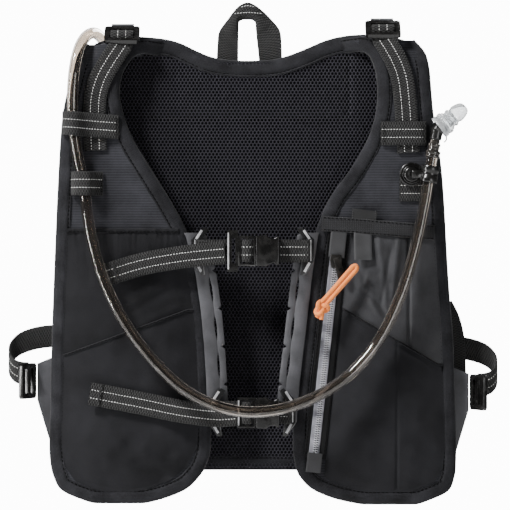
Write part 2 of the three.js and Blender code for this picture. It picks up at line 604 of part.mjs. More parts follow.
// ---- side wings, locks and straps ---------------------------------------------------------
function sides() {
  const wing = (sign, drop) => {
    const shape = outline([[150, -288], [178, -297], [190, -302], [190, -334], [178, -374], [150, -384]]
      .map(([a, b]) => [a * sign, b + drop]));
    return facing(extrude(shape, 2), PANEL_FRONT_Y + PANEL_T + GAP + 2.2);
  };
  part("left_side_wing", "hypalon", wing(-1, 0));
  part("right_side_wing", "hypalon", wing(1, -9));
  const lock = (sign, z) => ladderLock().rotateY(-Math.PI / 2).rotateZ(Math.PI - SIDE_LOCK_TURN * sign)
    .translate(197.7 * sign, -31, z);
  part("left_side_lock", "acetal", lock(-1, -317));
  part("right_side_lock", "acetal", lock(1, -327));
  const path = [[151, -5.2], [172, -3.6], [192, -5.6], [206, -12], [209.4, -21], [208, -31], [205, -36.6]];
  const strap = (sign, z) => {
    const flat = extrude(smoothStrip(path.map(([a, b]) => [a * sign, b]), WEB_T, 16), WEB);
    return bend(flat, (x, y, h) => [x, y, h + z - WEB / 2 + (y + 5) * 1.15]);
  };
  part("left_side_strap", "webbing", strap(-1, -280));
  part("right_side_strap", "webbing", strap(1, -290));
}

// ---- front zip ----------------------------------------------------------------------------
const zipX = (z) => lerp(ZIP_TOP[0], ZIP_BOTTOM[0], (z - ZIP_TOP[1]) / (ZIP_BOTTOM[1] - ZIP_TOP[1]));
const ZIP_FACE_Y = PANEL_FRONT_Y - GAP;

function frontZip() {
  const low = ZIP_BOTTOM[1];
  const line = [[zipX(-188), -188], [zipX(low), low]];
  const tape = facing(extrude(strip(line, ZIP_TAPE), ZIP_T), ZIP_FACE_Y);
  const coilLine = [[zipX(-206), -206], [zipX(low + 4), low + 4]];
  const coil = facing(extrude(strip(coilLine, ZIP_COIL), ZIP_COIL_T - ZIP_T / 2), ZIP_FACE_Y - ZIP_T / 2);
  part("front_zip_tape", "zip", join(tape, coil));
  const at = [zipX(-212), ZIP_FACE_Y - ZIP_COIL_T - GAP, -212];
  const body = extrude(outline([[-4.4, 6], [4.4, 6], [5.4, 1], [4, -6], [-4, -6], [-5.4, 1]]), 3.6);
  part("front_zip_slider", "slider", facing(body, at[1]).translate(at[0], 0, at[2]));
  const puller = extrude(outline([[-2.4, 3], [2.4, 3], [3.6, -14], [1.6, -17], [-1.6, -17], [-3.6, -14]]), 1.8);
  part("front_zip_puller", "slider", facing(puller.rotateZ(0.28), at[1] - 3.6 - GAP).translate(at[0] + 1, 0, at[2]));
  const cordLine = [[91, -215], [63, -246.5]];
  const doubled = facing(extrude(strip(cordLine, 8), 4), -43.4);
  const knot = bare(new THREE.SphereGeometry(1, 12, 8)).scale(8, 4.6, 9.6).rotateY(0.35).translate(59.6, -46.4, -252);
  part("front_zip_cord", "cord", join(doubled, knot));
}

// ---- hang loop ----------------------------------------------------------------------------
function hangLoop() {
  const shape = outline([[-31.5, -43], [-31, -34], [-17, 7], [-11, 14.4], [1, 14.8], [7, 8], [25, -33],
    [25.4, -43], [5.4, -43], [5.2, -34], [2.6, -2], [0, 0], [-8, 0], [-10.4, -3], [-11.6, -34], [-11.6, -43]]);
  part("hang_loop", "webbing", facing(extrude(shape, LOOP_T), LOOP_T / 2));
}

frontPanels();
backPanel();
rearShell();
stashPocket();
rearZip();
reservoir();
quickConnect();
hose();
biteValve();
hoseClip();
loadLifters();
shoulderLocks();
keepers();
rails();
chestStrap("upper", UPPER_Z, UPPER_TAIL, true);
chestStrap("lower", LOWER_Z, LOWER_TAIL, false);
sides();
frontZip();
hangLoop();

export default pack;
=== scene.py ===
# The looks of a vest-style hydration pack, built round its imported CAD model.
# Sizes are in millimetres, in the part's frame, until piece() makes a mesh of them in metres.
import math

import bmesh
import bpy
import numpy as np
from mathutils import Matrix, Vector, noise
from mathutils.bvhtree import BVHTree


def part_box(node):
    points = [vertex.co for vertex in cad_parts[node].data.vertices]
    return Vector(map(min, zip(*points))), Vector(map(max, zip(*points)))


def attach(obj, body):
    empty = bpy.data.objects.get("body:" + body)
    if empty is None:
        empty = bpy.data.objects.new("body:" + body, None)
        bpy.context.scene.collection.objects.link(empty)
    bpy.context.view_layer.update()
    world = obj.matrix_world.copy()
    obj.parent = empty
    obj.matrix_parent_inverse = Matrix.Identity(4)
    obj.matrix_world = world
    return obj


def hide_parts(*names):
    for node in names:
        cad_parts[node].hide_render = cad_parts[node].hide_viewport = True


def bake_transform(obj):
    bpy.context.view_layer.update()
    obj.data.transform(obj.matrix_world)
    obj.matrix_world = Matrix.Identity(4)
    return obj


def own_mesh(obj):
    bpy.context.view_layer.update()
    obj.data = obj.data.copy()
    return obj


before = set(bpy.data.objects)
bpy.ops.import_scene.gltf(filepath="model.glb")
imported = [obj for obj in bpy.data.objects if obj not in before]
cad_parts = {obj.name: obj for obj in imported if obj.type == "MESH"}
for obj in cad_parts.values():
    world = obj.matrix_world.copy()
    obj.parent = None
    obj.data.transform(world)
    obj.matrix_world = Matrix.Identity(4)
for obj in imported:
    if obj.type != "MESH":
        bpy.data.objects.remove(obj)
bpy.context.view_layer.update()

MM = 0.001


# ---- numbers and lines ----------------------------------------------------------------------
def unit(v):
    v = np.asarray(v, float)
    return v / np.maximum(np.linalg.norm(v, axis=-1, keepdims=True), 1e-9)


def spline(points, step, closed=False):
    """Points about step apart on the centripetal Catmull-Rom curve through some points."""
    p = np.asarray(points, float)
    if closed:
        p = np.concatenate([p[-1:], p, p[:2]])
    else:
        p = np.concatenate([2 * p[:1] - p[1:2], p, 2 * p[-1:] - p[-2:-1]])
    out = []
    for a, b, c, d in zip(p[:-3], p[1:-2], p[2:-1], p[3:]):
        t0, t1, t2 = (max(np.linalg.norm(v), 1e-6) ** 0.5 for v in (b - a, c - b, d - c))
        m1 = ((b - a) / t0 - (c - a) / (t0 + t1) + (c - b) / t1) * t1
        m2 = ((c - b) / t1 - (d - b) / (t1 + t2) + (d - c) / t2) * t1
        t = np.linspace(0, 1, 13)[:-1, None]
        h = 2 * t**3 - 3 * t**2 + 1
        out.append(h * b + (t**3 - 2 * t**2 + t) * m1 + (1 - h) * c + (t**3 - t**2) * m2)
    out.append(p[-2:-1])
    return spaced(np.concatenate(out), step)


def lengths(line):
    return np.concatenate([[0], np.cumsum(np.linalg.norm(np.diff(line, axis=0), axis=1))])


def spaced(line, step):
    along = lengths(line)
    at = np.linspace(0, along[-1], max(2, round(along[-1] / step) + 1))
    return np.stack([np.interp(at, along, line[:, k]) for k in range(line.shape[1])], axis=1)


def curve(keys, values, at):
    """A smooth value through keys and values at each of at."""
    keys, values, at = (np.asarray(v, float) for v in (keys, values, at))
    if keys[0] > keys[-1]:
        keys, values = keys[::-1], values[::-1]
    slopes = np.gradient(values, keys)
    i = np.clip(np.searchsorted(keys, at) - 1, 0, len(keys) - 2)
    span = keys[i + 1] - keys[i]
    t = np.clip((at - keys[i]) / span, 0, 1)
    h = 2 * t**3 - 3 * t**2 + 1
    bend = (t**3 - 2 * t**2 + t) * slopes[i] + (t**3 - t**2) * slopes[i + 1]
    return h * values[i] + (1 - h) * values[i + 1] + bend * span


def round_in(distance, reach):
    return 1 - (1 - np.clip(np.asarray(distance, float) / reach, 0, 1)) ** 2


def hump(x, middle, width):
    return np.exp(-((np.asarray(x, float) - middle) / width) ** 2)


def rough(x, z, size, seed=0.0):
    """Smooth noise from -1 to 1 over an array of places."""
    x, z = np.broadcast_arrays(np.asarray(x, float), np.asarray(z, float))
    flat = [noise.noise(Vector((a / size, b / size, seed))) for a, b in zip(x.ravel(), z.ravel())]
    return np.array(flat).reshape(x.shape)


# ---- what the CAD model says ----------------------------------------------------------------
def mm_box(node):
    low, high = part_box(node)
    return np.array(low) / MM, np.array(high) / MM


def corners(node):
    return np.array([v.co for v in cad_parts[node].data.vertices]) / MM


def tree(node):
    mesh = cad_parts[node].data
    return BVHTree.FromPolygons([v.co for v in mesh.vertices], [tuple(p.vertices) for p in mesh.polygons])


def skin(node, side=-1):
    """f(x, z) gives the Y of a node's face on the viewer's side (-1) or the rear (1)."""
    found = tree(node)

    def face(x, z):
        hit = found.ray_cast(Vector((x * MM, side, z * MM)), Vector((0, -side, 0)))[0]
        if hit is None:
            hit = found.find_nearest(Vector((x * MM, side * 0.03, z * MM)))[0]
        return hit.y / MM

    return lambda x, z: np.vectorize(face)(x, z)


def outline_of(node):
    """Z, left X, right X, front Y and rear Y of each row of a node that was made in level rows."""
    spots = corners(node)
    rows = {}
    for spot in spots:
        rows.setdefault(round(float(spot[2]), 1), []).append(spot)
    table = [(z, *np.min(r, axis=0)[:1], *np.max(r, axis=0)[:1], *np.min(r, axis=0)[1:2],
              *np.max(r, axis=0)[1:2]) for z, r in rows.items()]
    return np.array(sorted(table, key=lambda row: -row[0]))


# ---- meshes ---------------------------------------------------------------------------------
class Heap:
    """Points, faces and weave coordinates collected for one piece."""

    def __init__(self):
        self.points, self.faces, self.weave, self.count = [], [], [], 0

    def add(self, points, faces, weave):
        self.points.append(points)
        self.faces += [tuple(i + self.count for i in f) for f in faces]
        self.weave.append(weave)
        self.count += len(points)
        return self

    def piece(self, name, material, slot, body="vest", replaces=(), sharp=50):
        return piece(name, np.concatenate(self.points), self.faces, np.concatenate(self.weave), material,
                     body, replaces, sharp)


def piece(name, points, faces, weave, material, body="vest", replaces=(), sharp=50):
    mesh = bpy.data.meshes.new(name)
    mesh.from_pydata((np.asarray(points) * MM).tolist(), [], faces)
    made = bmesh.new()
    made.from_mesh(mesh)
    bmesh.ops.recalc_face_normals(made, faces=made.faces)
    made.to_mesh(mesh)
    made.free()
    mesh.attributes.new("weave", "FLOAT_VECTOR", "POINT").data.foreach_set("vector", np.ravel(weave))
    mesh.shade_smooth()
    mesh.set_sharp_from_angle(angle=math.radians(sharp))
    mesh.materials.append(material)
    obj = bpy.data.objects.new(name, mesh)
    bpy.context.scene.collection.objects.link(obj)
    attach(obj, body)
    if replaces:
        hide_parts(*replaces)
    return obj


def loft(rings, capped=True):
    """Points, faces and weave of a skin over closed rings of points."""
    rings = np.asarray(rings, float)
    n, m = rings.shape[:2]
    around = lengths(rings[n // 2])
    along = lengths(rings.mean(axis=1))
    weave = np.stack([np.tile(around, (n, 1)), np.tile(along[:, None], (1, m)), np.zeros((n, m))], axis=-1)
    faces = [(i * m + j, i * m + (j + 1) % m, (i + 1) * m + (j + 1) % m, (i + 1) * m + j)
             for i in range(n - 1) for j in range(m)]
    if capped:
        faces += [tuple(reversed(range(m))), tuple((n - 1) * m + j for j in range(m))]
    return rings.reshape(-1, 3), faces, weave.reshape(-1, 3)


def slab(front, rear):
    """Points, faces and weave of a closed solid between two grids of points."""
    n, m = front.shape[:2]
    points = np.concatenate([front.reshape(-1, 3), rear.reshape(-1, 3)])
    faces = []
    for start in (0, n * m):
        faces += [(start + i * m + j, start + i * m + j + 1, start + (i + 1) * m + j + 1,
                   start + (i + 1) * m + j)
                  for i in range(n - 1) for j in range(m - 1)]
    rim = [j for j in range(m)] + [i * m + m - 1 for i in range(1, n)]
    rim += [(n - 1) * m + j for j in range(m - 2, -1, -1)] + [i * m for i in range(n - 2, 0, -1)]
    faces += [(a, b, b + n * m, a + n * m) for a, b in zip(rim, rim[1:] + rim[:1])]
    return points, faces, points[:, [0, 2, 1]]


def sweep(line, inward, face, section):
    """Rings of a section, as (inward, outward) pairs, carried along a line."""
    section = np.asarray(section, float)
    return line[:, None] + section[None, :, :1] * inward[:, None] + section[None, :, 1:] * face[:, None]


def frames(line, up):
    """Directions along a line, across it and out of its face, from a rough outward direction."""
    along = unit(np.gradient(line, axis=0))
    up = np.broadcast_to(np.asarray(up, float), line.shape)
    face = unit(up - (up * along).sum(axis=1, keepdims=True) * along)
    return along, np.cross(along, face), face


def tube(line, radius, sides=16, capped=True):
    along = unit(np.gradient(line, axis=0))
    face = np.cross(along[0], (0.3, 0.5, 0.8))
    faces = []
    for direction in along:
        face = unit(face - face.dot(direction) * direction)
        faces.append(face)
    face = np.array(faces)
    across = np.cross(along, face)
    turn = np.linspace(0, 2 * math.pi, sides, endpoint=False)
    radius = np.broadcast_to(np.asarray(radius, float), (len(line),))
    rings = line[:, None] + radius[:, None, None] * (
        np.cos(turn)[None, :, None] * across[:, None] + np.sin(turn)[None, :, None] * face[:, None])
    return loft(rings, capped)


def turned(profile, foot, axis, sides=40):
    """A solid of revolution: (radius, height) pairs along an axis from a foot."""
    axis = unit(axis)
    profile = np.asarray(profile, float)
    line = np.asarray(foot, float) + profile[:, 1:] * axis
    face = unit(np.cross(axis, (0.31, 0.52, 0.79)))
    across = np.cross(axis, face)
    turn = np.linspace(0, 2 * math.pi, sides, endpoint=False)
    rings = line[:, None] + np.maximum(profile[:, 0], 0.02)[:, None, None] * (
        np.cos(turn)[None, :, None] * across + np.sin(turn)[None, :, None] * face)
    return loft(rings)


def rounded(profile, radius=0.5):
    """A profile with its corners cut twice, so that it catches the light as a moulding does."""
    profile = np.asarray(profile, float)
    out = [profile[0]]
    for before, corner, after in zip(profile, profile[1:], profile[2:]):
        for other, first in ((before, True), (after, False)):
            reach = np.linalg.norm(other - corner)
            spot = corner + (other - corner) * min(radius / max(reach, 1e-6), 0.45)
            if not first:
                out.append((corner * 2 + out[-1] + spot) / 4)
            out.append(spot)
    out.append(profile[-1])
    return np.array(out)


def block(low, high, soft=0.4):
    """A box with chamfered edges."""
    low, high = np.asarray(low, float), np.asarray(high, float)
    rings = []
    for y, inset in ((low[1], soft), (low[1] + soft, 0), (high[1] - soft, 0), (high[1], soft)):
        xs = (low[0] + inset, high[0] - inset)
        zs = (low[2] + inset, high[2] - inset)
        ring = [(xs[0] + soft, y, zs[0]), (xs[1] - soft, y, zs[0]), (xs[1], y, zs[0] + soft),
                (xs[1], y, zs[1] - soft),
                (xs[1] - soft, y, zs[1]), (xs[0] + soft, y, zs[1]), (xs[0], y, zs[1] - soft),
                (xs[0], y, zs[0] + soft)]
        rings.append(ring)
    return loft(rings)


# ---- shader nodes ---------------------------------------------------------------------------
SOCKETS = {"roughness": "Roughness", "metallic": "Metallic", "sheen": "Sheen Weight", "ior": "IOR",
           "sheen_roughness": "Sheen Roughness", "coat": "Coat Weight", "coat_roughness": "Coat Roughness",
           "transmission": "Transmission Weight", "specular": "Specular IOR Level",
           "subsurface": "Subsurface Weight", "alpha": "Alpha"}


class Net:
    """A short way to write a material's nodes. Distances in it are in millimetres."""

    def __init__(self, name, **sockets):
        self.material = bpy.data.materials.new(name)
        self.material.use_nodes = True
        self.nodes = self.material.node_tree.nodes
        self.links = self.material.node_tree.links
        self.shader = self.nodes["Principled BSDF"]
        for key, value in sockets.items():
            self.shader.inputs[SOCKETS[key]].default_value = value

    def node(self, kind, out=0, inputs=(), **settings):
        made = self.nodes.new("ShaderNode" + kind)
        for key, value in settings.items():
            setattr(made, key, value)
        for socket, value in dict(inputs).items():
            if isinstance(value, bpy.types.NodeSocket):
                self.links.new(value, made.inputs[socket])
            else:
                made.inputs[socket].default_value = value
        return made.outputs[out]

    def math(self, operation, a, b=0.0, clamp=False):
        return self.node("Math", 0, {0: a, 1: b}, operation=operation, use_clamp=clamp)

    def place(self):
        """Object coordinates in millimetres."""
        spot = self.node("TexCoord", "Object")
        return self.node("VectorMath", 0, {0: spot, 1: (1000, 1000, 1000)}, operation="MULTIPLY")

    def weave(self):
        return self.node("Attribute", "Vector", attribute_name="weave")

    def axes(self, vector):
        made = self.nodes.new("ShaderNodeSeparateXYZ")
        self.links.new(vector, made.inputs[0])
        return made.outputs[0], made.outputs[1], made.outputs[2]

    def wave(self, value, pitch, shift=0.0):
        """A wave from 0 to 1."""
        turn = self.math("MULTIPLY_ADD", value, 2 * math.pi / pitch)
        turn.node.inputs[2].default_value = shift
        sine = self.math("SINE", turn)
        half = self.math("MULTIPLY_ADD", sine, 0.5)
        half.node.inputs[2].default_value = 0.5
        return half

    def noise(self, vector, size, detail=2.0, rough=0.5):
        return self.node("TexNoise", 0,
                         {"Vector": vector, "Scale": 1 / size, "Detail": detail, "Roughness": rough})

    def ramp(self, value, low, high, start=0.0, end=1.0):
        """Value from start to end becomes low to high."""
        return self.node("MapRange", 0, {"Value": value, "From Min": low, "From Max": high, "To Min": start,
                                         "To Max": end})

    def mix(self, share, a, b):
        made = self.nodes.new("ShaderNodeMix")
        made.data_type = "RGBA"
        for socket, value in ((0, share), (6, a), (7, b)):
            if isinstance(value, bpy.types.NodeSocket):
                self.links.new(value, made.inputs[socket])
            else:
                made.inputs[socket].default_value = (*value, 1) if socket else value
        return made.outputs[2]

    def color(self, value):
        if isinstance(value, bpy.types.NodeSocket):
            self.links.new(value, self.shader.inputs["Base Color"])
        else:
            self.shader.inputs["Base Color"].default_value = (*value, 1)

    def rough(self, value):
        self.links.new(value, self.shader.inputs["Roughness"])

    def bump(self, height, depth, strength=1.0, after=None):
        inputs = {"Height": height, "Distance": depth * MM, "Strength": strength}
        if after is not None:
            inputs["Normal"] = after
        normal = self.node("Bump", 0, inputs)
        self.links.new(normal, self.shader.inputs["Normal"])
        return normal


def cloth(name, dark, light, pitch=(0.9, 0.9), ribs=0.0, roughness=0.85, sheen=0.06, depth=0.12, patch=26.0):
    """Woven cloth in the X-Z plane: threads both ways, faint level ribs, worn lighter in patches."""
    net = Net(name, roughness=roughness, sheen=sheen, sheen_roughness=0.5, specular=0.12)
    place = net.place()
    x, _, z = net.axes(place)
    warp = net.wave(x, pitch[0])
    weft = net.wave(z, pitch[1])
    threads = net.math("MULTIPLY", warp, weft)
    if ribs:
        rib = net.wave(z, ribs)
        threads = net.math("ADD", threads, net.math("MULTIPLY", rib, 0.7))
    patches = net.noise(place, patch, 3.0, 0.55)
    fuzz = net.noise(place, 0.8, 2.0, 0.7)
    shade = net.math("ADD", net.math("MULTIPLY", patches, 0.75), net.math("MULTIPLY", fuzz, 0.35))
    shade = net.math("ADD", shade, net.math("MULTIPLY", threads, 0.3))
    net.color(net.mix(net.ramp(shade, 0.35, 1.05), dark, light))
    net.rough(net.ramp(patches, 0.3, 0.7, roughness - 0.08, roughness + 0.06))
    fine = net.bump(threads, depth, 0.8)
    net.bump(net.noise(place, 2.6, 3.0), 0.3, 0.35, fine)
    return net.material


def webbing_stuff(name, dark, light, rib=2.3):
    """Ribbed webbing: raised ribs across the strap, shifted by half a rib in bands along it."""
    net = Net(name, roughness=0.62, sheen=0.05, specular=0.2)
    place = net.place()
    across, along, _ = net.axes(net.weave())
    band = net.wave(across, 4.4)
    step = net.math("MULTIPLY", net.math("GREATER_THAN", band, 0.5), rib / 2)
    ribs = net.wave(net.math("ADD", along, step), rib)
    threads = net.wave(across, 1.1)
    height = net.math("ADD", ribs, net.math("MULTIPLY", threads, 0.35))
    worn = net.noise(place, 9.0, 3.0)
    shade = net.math("ADD", net.math("MULTIPLY", height, 0.62), net.math("MULTIPLY", worn, 0.3))
    net.color(net.mix(net.ramp(shade, 0.25, 0.95), dark, light))
    net.bump(height, 0.55, 1.0)
    return net.material


def knit(name, dark, light):
    """Stretch binding tape: fine ribs across the tape and a soft nap."""
    net = Net(name, roughness=0.85, sheen=0.18, sheen_roughness=0.4, specular=0.15)
    place = net.place()
    across, along, _ = net.axes(net.weave())
    ribs = net.math("MULTIPLY", net.wave(along, 0.9), net.wave(across, 1.1))
    nap = net.noise(place, 1.3, 3.0, 0.7)
    worn = net.noise(place, 18.0, 2.0)
    shade = net.math("ADD", net.math("MULTIPLY", ribs, 0.3), net.math("MULTIPLY", nap, 0.4))
    shade = net.math("ADD", shade, net.math("MULTIPLY", worn, 0.5))
    net.color(net.mix(net.ramp(shade, 0.35, 0.9), dark, light))
    net.bump(net.math("ADD", ribs, nap), 0.22, 0.7)
    return net.material


def sheeting(name, dark, light, roughness=0.6):
    """Synthetic rubber sheet: plain, with a fine leathery grain and scuffed edges."""
    net = Net(name, roughness=roughness, specular=0.4)
    place = net.place()
    grain = net.noise(place, 0.9, 4.0, 0.6)
    worn = net.noise(place, 14.0, 3.0)
    net.color(net.mix(net.ramp(net.math("ADD", net.math("MULTIPLY", grain, 0.4), worn), 0.5, 0.95), dark,
                      light))
    net.rough(net.ramp(worn, 0.3, 0.7, roughness - 0.1, roughness + 0.1))
    net.bump(grain, 0.12, 0.5)
    return net.material


def moulding(name, dark, light, roughness=0.32, metallic=0.0):
    """Moulded or cast parts: a satin surface with faint flow marks and rubbed high spots."""
    net = Net(name, roughness=roughness, metallic=metallic, specular=0.5, coat=0.15, coat_roughness=0.25)
    place = net.place()
    flow = net.noise(place, 7.0, 3.0)
    grain = net.noise(place, 0.5, 2.0, 0.6)
    net.color(net.mix(net.ramp(flow, 0.35, 0.7), dark, light))
    net.rough(net.ramp(net.math("ADD", flow, net.math("MULTIPLY", grain, 0.4)), 0.5, 0.9, roughness - 0.07,
                       roughness + 0.12))
    net.bump(grain, 0.05, 0.35)
    return net.material


def clear(name, tint, roughness=0.08, transmission=0.8, ior=1.45, haze=6.0, uneven=0.15):
    """Clear flexible plastic with a little haze in it."""
    net = Net(name, roughness=roughness, transmission=transmission, ior=ior, specular=0.6, coat=0.5,
              coat_roughness=0.06)
    place = net.place()
    cloud = net.noise(place, haze, 2.0)
    net.color(net.mix(net.ramp(cloud, 0.3, 0.7), tuple(c * 0.85 for c in tint), tint))
    net.rough(net.ramp(cloud, 0.3, 0.7, roughness * 0.6, roughness * 1.5))
    net.bump(net.noise(place, 9.0, 1.0), 0.05, uneven)
    return net.material


def braid(name, dark, light, pitch=1.5):
    """Braided cord: two sets of strands that cross."""
    net = Net(name, roughness=0.7, sheen=0.3, specular=0.3)
    across, along, _ = net.axes(net.weave())
    one = net.wave(net.math("ADD", along, across), pitch)
    two = net.wave(net.math("SUBTRACT", along, across), pitch)
    strands = net.math("MAXIMUM", one, two)
    nap = net.noise(net.place(), 0.8, 2.0)
    shade = net.math("ADD", net.math("MULTIPLY", strands, 0.7), net.math("MULTIPLY", nap, 0.4))
    net.color(net.mix(net.ramp(shade, 0.4, 1.05), dark, light))
    net.bump(strands, 0.25, 0.8)
    return net.material


def thread(name, color, roughness=0.6, sheen=0.2):
    net = Net(name, roughness=roughness, sheen=sheen, specular=0.15)
    twist = net.wave(net.math("ADD", *net.axes(net.place())[::2]), 0.5)
    net.color(net.mix(twist, tuple(c * 0.75 for c in color), color))
    net.bump(twist, 0.06, 0.6)
    return net.material


FABRIC = cloth("ripstop_cloth", (0.0030, 0.0030, 0.0037), (0.0400, 0.0405, 0.0475), ribs=2.3)
LOWER_CLOTH = cloth("pocket_cloth", (0.0030, 0.0030, 0.0036), (0.0230, 0.0230, 0.0262), pitch=(0.7, 0.7),
                    patch=34.0)
STRETCH = cloth("stretch_cloth", (0.0070, 0.0070, 0.0080), (0.0520, 0.0525, 0.0580), pitch=(0.55, 0.8),
                sheen=0.3,
                roughness=0.5, depth=0.08)
MATT_CLOTH = cloth("matt_cloth", (0.0024, 0.0024, 0.0029), (0.0190, 0.0190, 0.0216), pitch=(0.6, 0.8),
                   patch=30.0)
GRIP = cloth("loop_band", (0.0030, 0.0030, 0.0033), (0.030, 0.030, 0.033), pitch=(1.9, 1.6), sheen=0.3,
             depth=0.3)
LINING = cloth("lining_cloth", (0.0015, 0.0015, 0.0018), (0.0040, 0.0040, 0.0046), pitch=(1.2, 1.2))
SHELL_CLOTH = cloth("shell_cloth", (0.0036, 0.0036, 0.0041), (0.0160, 0.0163, 0.0185), ribs=3.1, patch=40.0)
AIR_MESH = thread("air_mesh_strands", (0.0300, 0.0285, 0.0370), 0.36, 0.1)
WEBBING = webbing_stuff("ribbed_webbing", (0.0005, 0.0005, 0.0006), (0.0320, 0.0315, 0.0310))
BINDING = knit("binding_tape", (0.0026, 0.0026, 0.0032), (0.0360, 0.0360, 0.0415))
HYPALON = sheeting("grey_rubber_sheet", (0.036, 0.036, 0.040), (0.066, 0.066, 0.073))
GREY_PATCH = sheeting("grey_patch", (0.018, 0.018, 0.019), (0.034, 0.034, 0.037))
SOFT_RUBBER = sheeting("dark_rubber", (0.012, 0.012, 0.013), (0.024, 0.024, 0.026))
LABEL = sheeting("woven_label", (0.0055, 0.0055, 0.0058), (0.0110, 0.0110, 0.0115))
ACETAL = moulding("black_acetal", (0.0026, 0.0025, 0.0024), (0.0065, 0.0060, 0.0056), 0.22)
HOOK_BLACK = moulding("polished_acetal", (0.0060, 0.0060, 0.0062), (0.0140, 0.0140, 0.0145), 0.16)
METAL = moulding("black_enamel", (0.0060, 0.0055, 0.0050), (0.0150, 0.0130, 0.0110), 0.3, 0.5)
HOSE_PLASTIC = clear("smoky_hose", (0.66, 0.59, 0.52), 0.03, 1.0, uneven=0.0)
SMOKE = clear("smoky_barrel", (0.20, 0.18, 0.16), 0.06, 0.9, uneven=0.0)
SILICONE = clear("clear_silicone", (0.95, 0.98, 1.0), 0.12, 0.72, 1.41, uneven=0.0)
BLADDER = clear("blue_film", (0.45, 0.68, 0.82), 0.2, 0.5, 1.4, 20.0)
REFLECTIVE = thread("reflective_thread", (0.86, 0.86, 0.84), 0.35, 0.0)
STITCH = thread("dark_thread", (0.0008, 0.0008, 0.0009), 0.9, 0.0)
GREY_STITCH = thread("grey_thread", (0.040, 0.040, 0.043))
ORANGE = braid("orange_braid", (0.85, 0.135, 0.010), (1.0, 0.38, 0.075))
# Painted highlight: a pale grey for thin strips on the hooks' chamfers and the buckle fins' edges, standing
# in for their glints.
GLINT_PAINT = moulding("painted_glint_strip", (0.28, 0.28, 0.29), (0.62, 0.62, 0.63), 0.2)
TAPE_SILVER = sheeting("reflective_zip_face", (0.040, 0.040, 0.046), (0.30, 0.30, 0.34), 0.3)
COIL = sheeting("zip_coil", (0.22, 0.22, 0.24), (0.72, 0.72, 0.76), 0.26)
TAPE_BLACK = knit("zip_tape", (0.0025, 0.0025, 0.0028), (0.0080, 0.0080, 0.0088))


# ---- camera, stage and light ----------------------------------------------------------------
VIEW_WIDTH = 446.0         # what the picture spans at the harness's front
VIEW_AT = (1.75, -206.5)
EYE_AWAY = 2200.0
HARNESS_Y = -38.0


def camera():
    data = bpy.data.cameras.new("camera")
    data.sensor_width = 36
    data.lens = data.sensor_width * EYE_AWAY / VIEW_WIDTH
    data.clip_end = 50
    eye = bpy.data.objects.new("camera", data)
    eye.location = (VIEW_AT[0] * MM, (HARNESS_Y - EYE_AWAY) * MM, VIEW_AT[1] * MM)
    eye.rotation_euler = (math.pi / 2, 0, 0)
    bpy.context.scene.collection.objects.link(eye)
    bpy.context.scene.camera = eye


def lamp(name, at, size, watts, tint=(1, 1, 1), tall=None):
    data = bpy.data.lights.new(name, "AREA")
    data.shape = "RECTANGLE" if tall else "DISK"
    data.size = size
    if tall:
        data.size_y = tall
    data.energy = watts
    data.color = tint
    light = bpy.data.objects.new(name, data)
    light.location = at
    light.rotation_euler = (Vector(at) - Vector((0, 0, -0.2))).to_track_quat("Z", "Y").to_euler()
    bpy.context.scene.collection.objects.link(light)


BACKDROP = 13.0              # how bright the plain backdrop is
ROOM_LIGHT = 0.11            # soft light from all round
SEEN_THROUGH = 0.30          # share of the backdrop that clear parts let through


def studio():
    world = bpy.data.worlds.new("studio")
    world.use_nodes = True
    sky = world.node_tree.nodes["Background"]
    sky.inputs["Color"].default_value = (1.0, 1.0, 1.0, 1)
    nodes, links = world.node_tree.nodes, world.node_tree.links
    path = nodes.new("ShaderNodeLightPath")
    total = nodes.new("ShaderNodeMath")
    total.operation = "MULTIPLY_ADD"
    links.new(path.outputs["Is Camera Ray"], total.inputs[0])
    total.inputs[1].default_value = BACKDROP
    facing = nodes.new("ShaderNodeTexCoord")
    split = nodes.new("ShaderNodeSeparateXYZ")
    links.new(facing.outputs["Generated"], split.inputs[0])
    behind = nodes.new("ShaderNodeMapRange")
    links.new(split.outputs["Y"], behind.inputs["Value"])
    for socket, value in (("From Min", 0.45), ("From Max", 0.95), ("To Min", 0.0),
                          ("To Max", BACKDROP * SEEN_THROUGH)):
        behind.inputs[socket].default_value = value
    through = nodes.new("ShaderNodeMath")
    through.operation = "MULTIPLY_ADD"
    links.new(path.outputs["Is Transmission Ray"], through.inputs[0])
    links.new(behind.outputs[0], through.inputs[1])
    through.inputs[2].default_value = ROOM_LIGHT
    links.new(through.outputs[0], total.inputs[2])
    links.new(total.outputs[0], sky.inputs["Strength"])
    bpy.context.scene.world = world
    lamp("key", (-1.25, -0.95, 1.35), 0.45, 96)
    lamp("side", (-1.7, -0.75, -0.4), 0.16, 34, tall=1.6)
    lamp("low", (0.2, -1.3, -1.5), 1.6, 20, tall=0.2)
    lamp("fill", (1.3, -1.9, -0.3), 1.2, 15)
    lamp("rear", (0.9, 1.7, 0.9), 1.2, 40)
    bpy.ops.mesh.primitive_circle_add(vertices=96, radius=3.2, fill_type="NGON", location=(0, 0, -0.9))
    floor = bpy.context.object
    floor.name = "floor"
    paint = Net("pale_floor", roughness=0.9)
    paint.color((0.86, 0.86, 0.86))
    floor.data.materials.append(paint.material)


camera()
studio()


# ---- the hose and its bite valve ------------------------------------------------------------
HOSE_RADIUS = 5.0
HOSE_BORE = 3.2              # radius of the bore
HOSE_SIDES = 24
BARREL_LENGTH = 15.4
ELBOW_RISE = 9               # from the elbow's foot up to its bend
ELBOW_REACH = 8.6            # from the bend out to the bite piece
